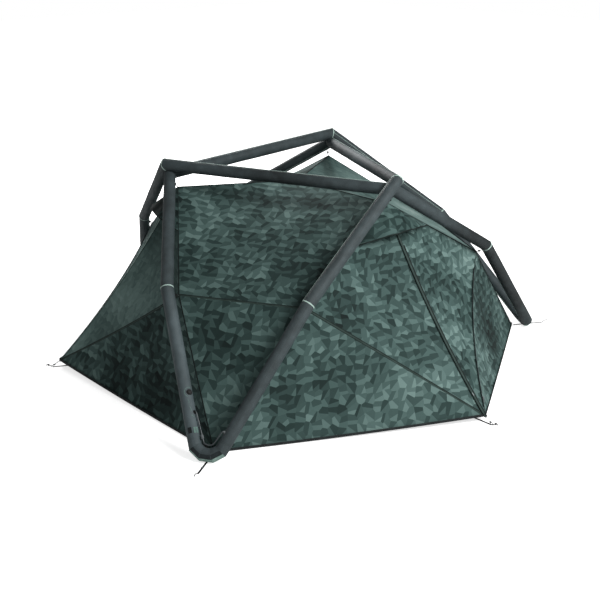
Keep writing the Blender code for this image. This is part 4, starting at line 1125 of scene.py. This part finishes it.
def make_foot_side(k, label, before, peak, after):
    """The roof panel between two top corners, the foot panel under it, and their seams."""
    low_a, low_b = fly_bend(k, -1), fly_bend(k, 1)
    corner = fly_foot_corner(k)
    ridge = np.concatenate([seam_points(before, peak), seam_points(peak, after)[1:]])
    cross_seam = seam_points(low_a, low_b, 0.0, np.linspace(0, 1, 49))
    grid = settled(four_patch(ridge, cross_seam, seam_points(before, low_a),
                              seam_points(after, low_b)))
    # The front right roof panel takes the cloth with painted sheen.
    cloth_piece(f"fly_{label}_roof_cloth",
                tension_folds(grid, (before, after, low_a, low_b), 1.1 + k),
                [f"fly_roof_panel_{label}"], (1.7 * k, 0.6),
                painted_sheen_fly if label == "front_right" else fly_cloth)
    grid = fan_patch(seam_points(corner, low_b), seam_points(corner, low_a),
                     seam_points(low_b, low_a))
    cloth_piece(f"fly_{label}_foot_cloth", tension_folds(grid, (corner, low_a, low_b), 2 + k),
                [f"fly_foot_panel_{label}"], (0.9 * k, 1.9))
    flat_felled(f"fly_{label}_cross_seam", seam_points(low_a, low_b))
    for tag, top, low in (("left", before, low_a), ("right", after, low_b)):
        seam_strip(f"fly_{label}_{tag}_seam", seam_points(top, low))
        seam_strip(f"fly_{label}_{tag}_leg_seam", seam_points(corner, low))


def flat_felled(name, points):
    """A wide seam: a dark strip with the plain cloth of the seam allowance on it."""
    seam_strip(name, points, 0.022, 0.0024)
    seam_strip(name + "_band", points, 0.011, 0.0032, plain_fly)


def make_bay(bay):
    label = bay_names[bay]
    panels = [f"fly_{label}_bay_panel_{k}" for k in (1, 2)]
    if bay == 0:
        panels = ["fly_front_bay_panel", "fly_door_side_panel"]
    for side, tag, node in ((-1, "left", panels[0]), (1, "right", panels[1])):
        name = f"fly_{label}_{tag}"
        edges = bay_edges(bay, side)
        lower = fan_patch(edges["hem"], edges["leg"], edges["seam"][::-1])
        lower = tension_folds(lower, (edges["corner"], edges["bend_point"],
                                      edges["foot_corner"]), bay + side)
        cloth_piece(name + "_lower_cloth", lower, [node], (0.5 + bay, 1.3 * side))
        if node == "fly_door_side_panel":
            make_door(edges)
        else:
            upper = fan_patch(edges["top"], edges["ridge"], edges["seam"])
            upper = tension_folds(upper, (edges["top_point"], edges["bend_point"],
                                          edges["corner"]), 3 + bay + side)
            # The left bay's right upper panel takes the cloth with painted sheen.
            cloth_piece(name + "_upper_cloth", upper, [node], (2.1 + bay, 0.7 * side),
                        painted_sheen_fly if name == "fly_left_right" else fly_cloth)
            flat_felled(name + "_bay_seam", edges["seam"])
        make_hem(name, edges["hem"])
    if bay:
        ridge = bay_edges(bay, -1)["ridge"]
        seam_strip(f"fly_{label}_ridge_seam", ridge, 0.014, 0.003)
        # A pale strip along the ridge seam: painted highlight where the ridge's edge catches the
        # light.
        seam_strip(f"fly_{label}_ridge_painted_highlight", ridge, 0.010, 0.004, sole_laminate)


def make_hem(name, points):
    """The dark band along a bay's lower edge, and its row of stitches."""
    hem = points + np.array([0, 0, hem_width * 0.45])
    facing = outward(hem) * np.array([1, 1, 0.4])
    strip = sweep(name + "_hem", hem, facing, flat_profile(hem_width, 0.003, -0.001), webbing)
    placed(strip)
    line = (hem + unit(facing) * 0.0024 + np.array([0, 0, hem_width * 0.3]))[1:-1]
    row = beads(name + "_hem_stitches", line, stitches, Spacing=0.02, Length=0.011,
                Width=0.0016, Height=0.001)
    placed(row)


def make_door(edges):
    """The door leaf, the fixed piece over it, and the zips, tapes and flap round them."""
    top, bend, seam = edges["top_point"], edges["bend_point"], edges["seam"]
    corner_top = top + (bend - top) * door_corner_share
    sideways = unit(bend - top)

    def ridge_part(first, last, count):
        return seam_points(top, edges["corner"], ridge_sag, np.linspace(first, last, count))

    split = 1 / cad_cuts
    ridge = ridge_part(split, 1, 25)
    top_ridge = ridge_part(0, split, 13)
    header = fan_patch(top_ridge, seam_points(top, corner_top), seam_points(ridge[0], corner_top))
    cloth_piece("door_header_cloth", header, ["door_header_panel"])
    leaf = four_patch(seam_points(ridge[0], corner_top), seam[::-1], ridge,
                      seam_points(corner_top, bend))
    leaf = tension_folds(leaf, (bend, edges["corner"], top), 5.2)
    cloth_piece("door_cloth", leaf, ["door_panel"], (3.4, 0.2), body="door")
    seam_strip("door_ridge_tape", ridge + sideways * door_tape_inset, door_tape_width, 0.0028,
               body="door")
    # The side tape stops short of the bend, where it would meet the sleeve when the door opens.
    inner_seam = seam + np.array([0.0, 0.0, side_tape_rise])
    seam_strip("door_side_tape", inner_seam[3:-1], door_tape_width, 0.0028, webbing, "door")
    whole_ridge = ridge_part(zip_flap_start, 1, 30)
    seam_strip("ridge_zip_flap", whole_ridge - sideways * zip_flap_reach, zip_flap_width, 0.0045,
               plain_fly)
    seam_strip("ridge_flap_stitching", whole_ridge - sideways * flap_stitch_reach, 0.004, 0.0035)
    for name, way, start in (("ridge_zip_teeth", ridge, 0), ("side_zip_teeth", seam, 1)):
        line = way + unit(outward(way)[0]) * zip_lift
        placed(beads(name, line[start:], zip_teeth, **zip_tooth))
    seam_strip("side_zip_tape", seam - np.array([0, 0, side_tape_drop]), door_tape_width, 0.003,
               webbing)
    seam_strip("hood_ridge_seam", top_ridge, 0.012, 0.0025)


# Hood

def make_hood(bay):
    """A vent hood over a bay's top, its free edge bulged out by a piped rim."""
    label = bay_names[bay]
    edges = (bay_edges(bay, -1), bay_edges(bay, 1))
    top = edges[0]["top_point"]
    out = unit(top - dome_centre)
    apex = top + out * hood_lift
    sides = []
    for half in edges:
        point = top + (half["bend_point"] - top) * hood_reach_share
        sides.append(point + unit(point - dome_centre) * hood_lift)
    bulge = polar(hood_front_reach, node_azimuth + third_turn * bay, hood_front_rise)
    t = np.linspace(0, 1, 24 * detail + 1)[:, None]
    edge = sides[0] + (sides[1] - sides[0]) * t + bulge * 4 * t * (1 - t)
    share = np.linspace(0, 1, 8 * detail + 1)[:, None, None]
    fold = hood_fold * share * np.sin(9 * math.pi * t) * np.minimum(1, 6 * t * (1 - t))
    grid = apex + (edge - apex) * share + out * fold
    cloth_piece(f"hood_{label}_cloth", grid, [f"vent_hood_{label}"], (5.2, 0.9))
    wire = sweep(f"hood_{label}_rim", grid[-1], outward(grid[-1]),
                 round_profile(hood_rim_radius, 8), felled_seam)
    placed(wire)


# Hangers

def hanger_cord(name, corner, strand):
    """A cord loop that ties a corner of the fly to the tube above it, and its toggle."""
    _, near = strand_gap(corner[None, :], strand)
    away = unit(near[0] - corner)
    tip = near[0] - away * (tube_radius + 0.001)
    side = unit(np.cross(away, (0.0, 0.0, 1.0)))
    turn = np.linspace(0, 2 * math.pi, 24, endpoint=False)[:, None]
    points = corner + (tip - corner) * (1 - np.cos(turn)) / 2
    points += side * hanger_half_width * np.sin(turn)
    loop = sweep(name, points, np.cross(away, side), round_profile(cord_radius, 6), braided_cord,
                 closed=True)
    placed(loop)
    grip = (corner + tip) / 2
    half = away * toggle_half_length
    toggle = sweep(name + "_toggle", [grip - half, grip + half], side,
                   flat_profile(toggle_width, 0.007, -0.0035), black_nylon)
    placed(toggle)


def make_hangers():
    for k, label in enumerate(foot_names):
        over = [turned(p, k) for p in (foot.apex, over_bend, over_node)]
        under = [turned(p, k) for p in (foot.apex, foot.under_bend, turned(under_node, 1))]
        hanger_cord(f"hanger_{label}_over", fly_bend(k, 1), over)
        hanger_cord(f"hanger_{label}_under", fly_bend(k, -1), under)
    for bay, label in enumerate(bay_names):
        strand = [turned(p, bay - 1) for p in (over_node, under_node, under_bend)]
        hanger_cord(f"hanger_{label}_top", fly_top(bay), strand)


# Valve, hoses and clamps

def leg_skin(side, rise, turn):
    """A place on a leg's skin above the first foot, and the way it faces."""
    inward = foot.across if side == "under" else -foot.across
    leg = foot.over_leg if side == "over" else foot.under_leg
    inward = unit(inward - leg * float(inward @ leg))
    facing = math.cos(turn) * foot.out + math.sin(turn) * inward
    return foot.on_leg(side, rise) + facing * tube_radius, facing


def frame_matrix(origin, x_axis, z_axis):
    """A matrix that stands a fitting on an origin, with its height along the z axis."""
    z = Vector(unit(z_axis))
    x = Vector(x_axis)
    x = (x - z * x.dot(z)).normalized()
    matrix = Matrix((x, z.cross(x), z)).transposed().to_4x4()
    matrix.translation = Vector(origin)
    return matrix


def lathe(name, profile, matrix, material, steps=48, ribs=0, rib_depth=0.0):
    """A turned shape from (radius, height) pairs, with grip ribs where asked."""
    points = []
    for r, z in profile:
        for turn in np.linspace(0, 2 * math.pi, steps, endpoint=False):
            reach = r * (1 + rib_depth * math.cos(ribs * turn)) if r > rib_start else r
            points.append(matrix @ Vector((reach * math.cos(turn), reach * math.sin(turn), z)))
    return finish_piece(name, points, tube_faces(len(profile), steps), material, angle=35)


def make_valve():
    """The patch round the valve, its ribbed cap on a strap, and the marks near it."""
    place, facing = leg_skin("under", valve_rise, valve_turn)
    matrix = frame_matrix(place, foot.under_leg, facing)
    placed(lathe("valve_patch", valve_patch_profile, matrix, black_nylon))
    cap = lathe("valve_cap_dial", [(r, valve_cap_low + z) for r, z in valve_cap_profile], matrix,
                black_nylon, 3 * valve_ribs, valve_ribs, 0.02)
    strap = sweep("valve_cap_strap", [
        matrix @ Vector((0, y, valve_cap_low + 0.002)) for y in valve_strap_ends],
        facing, flat_profile(0.009, 0.0022, -0.0009), black_nylon)
    placed(joined([cap, strap], "valve_cap_moulding"), "valve_lid",
           ["valve_cap"])
    make_valve_marks()


def skin_mark(name, places, width, material=printed_mark):
    """A flat printed or glued mark on the first foot's leg, through (rise, turn) places."""
    skin = [leg_skin("under", rise, math.radians(turn)) for rise, turn in places]
    placed(sweep(name, [point - facing * 0.0004 for point, facing in skin],
                 [facing for _, facing in skin], flat_profile(width, 0.0009), material))


def make_valve_marks():
    """Plain pale marks round the valve, a pale label and a dark patch below them."""
    middle = math.degrees(valve_turn)
    arc = [math.radians(-20 + 14 * k) for k in range(13)]
    skin_mark("valve_arc_mark", [(valve_rise + 0.036 * math.cos(turn), middle - 45 * math.sin(turn))
                                 for turn in arc], mark_width)
    skin_mark("valve_line_mark", [(valve_rise - 0.050 - 0.009 * k,
                                   middle - 26 + 1.2 * k + 4 * math.sin(k)) for k in range(11)],
              mark_width)
    skin_mark("valve_hook_mark", [(valve_rise - 0.165 - 0.003 * k, middle - 22 + 5 * k)
                                  for k in range(7)], mark_width)
    skin_mark("foot_label", [(0.132 - 0.006 * k, 46) for k in range(8)], 0.034)
    skin_mark("foot_dark_patch", [(0.136 - 0.006 * k, -6) for k in range(8)], 0.028, webbing)


def hose_points():
    """The hose's points inside the first foot's bend, and its two ports on the legs."""
    inner = foot_bend_radius - tube_radius - hose_radius - hose_stand_off
    step = foot.sweep / 3
    arc = [foot.point(step * k, inner) + foot.out * hose_lift for k in (-2, -1, 0, 1, 2)]
    high, high_facing = leg_skin("under", hose_port_high, hose_high_turn)
    low, low_facing = leg_skin("over", hose_port_low, hose_low_turn)
    high_out = high + high_facing * hose_port_reach
    low_out = low + low_facing * hose_port_reach
    route = [
        high + high_facing * fit_gap, high_out - foot.under_leg * hose_port_reach / 2,
        (high_out + arc[0]) / 2, *arc, low_out - foot.over_leg * hose_port_reach / 2,
        low + low_facing * fit_gap]
    return smooth_route(route, 30), (high, high_facing), (low, low_facing)


def make_hoses():
    points, high, low = hose_points()
    fine = smooth_route(list(points), 90)
    along = unit(points[clamp_index + 1] - points[clamp_index - 1])
    matrix = frame_matrix(points[clamp_index], along, foot.out)
    for k, label in enumerate(foot_names[:2]):
        tube = sweep(f"hose_{label}_tube", fine, foot.out, round_profile(hose_radius, 16),
                     hose_skin)
        placed(tube, nodes=[f"hose_{label}"], turns=k)
        for tag, (place, facing), material in (("high", high, black_nylon),
                                               ("low", low, grey_acetal)):
            fitting = lathe(f"hose_{label}_{tag}_fitting", fitting_profile,
                            frame_matrix(place, foot.out, facing), material)
            placed(fitting, turns=k)
        body = clamp_shell(f"hose_clamp_{label}_body", matrix, clamp_size, 0.0, clamp_bevel)
        placed(body, nodes=[f"hose_clamp_{label}"], turns=k)
        lever = clamp_shell(f"clamp_lever_{label}_moulding", matrix, clamp_lever_size,
                            clamp_lever_rise, clamp_lever_bevel)
        placed(lever, ("clamp_lever_left", "clamp_lever_right")[k],
               [f"clamp_lever_{label}"], k)


def clamp_shell(name, matrix, size, rise, bevel):
    """A moulded block with rounded edges."""
    shape = bmesh.new()
    bmesh.ops.create_cube(shape, size=1)
    bmesh.ops.scale(shape, vec=size, verts=shape.verts)
    bmesh.ops.bevel(shape, geom=shape.edges[:], offset=bevel, segments=3, affect="EDGES",
                    profile=0.5)
    mesh = bpy.data.meshes.new(name)
    shape.to_mesh(mesh)
    shape.free()
    mesh.transform(matrix @ Matrix.Translation((0, 0, rise)))
    return smooth_item(name, mesh, grey_acetal, 35)


# Ground pieces

def corner_route(bay):
    azimuth = node_azimuth + third_turn * bay
    side = polar(loop_half_width, azimuth + math.pi / 2, 0)
    spread = loop_half_width * loop_end_share
    start = fly_corner_radius - (spread - loop_cord) / math.tan(third_turn / 2) + fit_gap
    low = 3 * peg_rod
    lean = math.atan2(peg_head_rise - peg_foot_share * peg_rod, peg_head_reach)
    beyond = (low - peg_foot_share * peg_rod) / math.tan(lean)
    clear = (peg_rod + loop_cord + fit_gap) / math.sin(lean)
    turn_round = bay_peg_radius + beyond + clear
    beside = turn_round - 2 * loop_half_width
    lane = []
    for drop, spread in loop_lane_shares:
        radius = start + (beside - start) * (1 - drop)
        lane.append((radius, low + (bay_corner_height - low) * drop, spread))
    lane.append((beside, low, 1))
    lane.append((turn_round - loop_cord, low, loop_turn_share))
    points = [polar(radius, azimuth, level) + side * spread for radius, level, spread in lane]
    points.append(polar(turn_round + loop_cord / 2, azimuth, low))
    points += [
        polar(radius, azimuth, level) - side * spread for radius, level, spread in lane[::-1]]
    return points


def make_peg_cap(bay, label):
    """The moulded cap on a bay peg's head, threaded on the rod above the loop."""
    azimuth = node_azimuth + third_turn * bay
    low = polar(bay_peg_radius, azimuth, peg_foot_share * peg_rod)
    rod = unit(polar(bay_peg_radius + peg_head_reach, azimuth, peg_head_rise) - low)
    matrix = frame_matrix(low + rod * peg_cap_reach, polar(1, azimuth + math.pi / 2, 0), rod)
    placed(lathe(f"peg_cap_{label}", peg_cap_profile, matrix, black_nylon))


def make_knot(bay, label):
    """The flat knot that draws a corner loop's two strands together near the peg."""
    route = corner_route(bay)
    matrix = frame_matrix((route[2] + route[-3]) / 2,
                          polar(1, node_azimuth + third_turn * bay, 0), np.array([0.0, 0, 1]))
    placed(lathe(f"corner_knot_{label}", knot_profile, matrix, braided_cord))


def make_corner_loops():
    """Each bay corner's cord loop with its knot, and the cap on the peg that holds it."""
    for bay, label in enumerate(bay_names):
        points = smooth_route(corner_route(bay), 60)
        cord = sweep(f"corner_loop_{label}_cord", points, (0.0, 0.0, 1.0),
                     round_profile(loop_cord, 8), braided_cord)
        placed(cord, nodes=[f"corner_loop_{label}"])
        make_peg_cap(bay, label)
        make_knot(bay, label)


def finish_nodes():
    """The finishes of the CAD nodes that keep their own shape."""
    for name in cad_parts:
        if name.startswith("peg_"):
            repaint(name, peg_metal)
        if name.startswith("bladder_"):
            repaint(name, bladder_film)
    for name in ("ridge_zip_slider", "side_zip_slider", "valve_stem"):
        repaint(name, grey_acetal)
    repaint("valve_base", black_nylon)


def make_inner_tent():
    for node_name, name in (("groundsheet", "groundsheet_cloth"),
                            ("inner_tent_floor", "inner_floor_cloth")):
        soft_copy(node_name, name, floor_cloth, 0.12, 0.0)
    soft_copy("inner_tent_canopy", "inner_canopy_cloth", inner_cloth, 0.10,
              0.006)


def soft_copy(node_name, name, material, step, wave):
    """A cloth piece made from a node's own shape, with finer faces and soft waves in it."""
    shape = bmesh.new()
    shape.from_mesh(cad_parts[node_name].data)
    bmesh.ops.remove_doubles(shape, verts=shape.verts, dist=0.00005)
    bmesh.ops.dissolve_limit(shape, angle_limit=math.radians(1), verts=shape.verts,
                             edges=shape.edges)
    bmesh.ops.triangulate(shape, faces=shape.faces)
    for _ in range(5):
        long = [edge for edge in shape.edges if edge.calc_length() > step]
        if not long:
            break
        bmesh.ops.subdivide_edges(shape, edges=long, cuts=1, use_grid_fill=False)
        bmesh.ops.triangulate(shape, faces=[f for f in shape.faces if len(f.verts) > 3])
    centre = Vector(dome_centre)
    for vertex in shape.verts:
        x, y, z = vertex.co
        if wave and z > 0.02:
            push = wave * (math.sin(7 * x + 3 * z) + math.sin(6 * y - 4 * z + 1.3)) / 2
            vertex.co += (centre - vertex.co).normalized() * (wave + push)
    layer = shape.loops.layers.uv.new("cut")
    for face in shape.faces:
        flat = abs(face.normal.z) > 0.7
        for loop in face.loops:
            x, y, z = loop.vert.co
            loop[layer].uv = (x, y) if flat else (x + y, z)
    bmesh.ops.recalc_face_normals(shape, faces=shape.faces)
    area = sum(face.calc_area() for face in shape.faces) / 2
    mesh = bpy.data.meshes.new(name)
    shape.to_mesh(mesh)
    shape.free()
    mesh.materials.append(material)
    item = placed(linked(name, mesh), "tent", [node_name])


# Stage, light and camera

def make_stage():
    """A pale floor that glows for the camera alone, and a world that looks white but lights less."""
    mesh = bpy.data.meshes.new("floor")
    corners = [(x * floor_half, y * floor_half, floor_level)
               for x, y in ((-1, -1), (1, -1), (1, 1), (-1, 1))]
    mesh.from_pydata(corners, [], [(0, 1, 2, 3)])
    material, tree, shader = new_material("pale studio floor", 0.9)
    shader.inputs["Base Color"].default_value = srgb("#f4f4f4")
    path = add(tree, "ShaderNodeLightPath")
    place = add(tree, "ShaderNodeTexCoord").outputs["Object"]
    distance = add(tree, "ShaderNodeVectorMath", {0: place}, operation="LENGTH")
    level = add(tree, "ShaderNodeMapRange", {
        "Value": distance.outputs["Value"], 1: 2.0, 2: 6.0, 3: 0.70, 4: 1.0})
    glow = add(tree, "ShaderNodeEmission", {"Color": (1, 1, 1, 1), "Strength": level.outputs[0]})
    lit = add(tree, "ShaderNodeAddShader", {0: shader.outputs[0], 1: glow.outputs[0]})
    mix = add(tree, "ShaderNodeMixShader", {
        0: path.outputs["Is Camera Ray"], 1: shader.outputs[0], 2: lit.outputs[0]})
    tree.links.new(mix.outputs[0], tree.nodes["Material Output"].inputs["Surface"])
    mesh.materials.append(material)
    linked("floor", mesh)
    world = bpy.data.worlds.new("studio")
    bpy.context.scene.world = world
    world.use_nodes = True
    tree = world.node_tree
    back = tree.nodes["Background"]
    back.inputs["Color"].default_value = (1, 1, 1, 1)
    path = add(tree, "ShaderNodeLightPath")
    level = add(tree, "ShaderNodeMapRange", {
        "Value": path.outputs["Is Camera Ray"], 3: 0.26, 4: 1.0})
    tree.links.new(level.outputs[0], back.inputs["Strength"])


def soft_box(name, place, target, power):
    light = bpy.data.lights.new(name, "AREA")
    light.shape = "RECTANGLE"
    light.size = light.size_y = soft_box_side
    light.energy = power
    item = linked(name, light)
    item.location = place
    item.rotation_euler = (Vector(target) - Vector(place)).to_track_quat("-Z", "Y").to_euler()


def make_camera():
    """The camera that took the photograph, as worked out from the picture's own corners."""
    data = bpy.data.cameras.new("camera")
    data.lens = camera_lens
    data.sensor_width = camera_sensor
    item = linked("camera", data)
    forward = Vector(camera_forward).normalized()
    right = forward.cross(Vector(camera_up)).normalized()
    matrix = Matrix((right, right.cross(forward), -forward)).transposed().to_4x4()
    matrix.translation = Vector(camera_place)
    item.matrix_world = matrix
    bpy.context.scene.camera = item


make_camera()
make_hoses()
make_corner_loops()
make_stage()
soft_box("key light", (0.2, -6.4, 5.2), (0, 0, 0.6), 560)
soft_box("back light", (2.8, 6.0, 4.4), (0, 0, 0.9), 420)
bpy.context.scene.view_settings.view_transform = "Standard"

make_sleeves()
make_feet()
make_fly()
make_hood(0)
make_hood(2)
make_hangers()
make_valve()
finish_nodes()
make_inner_tent()
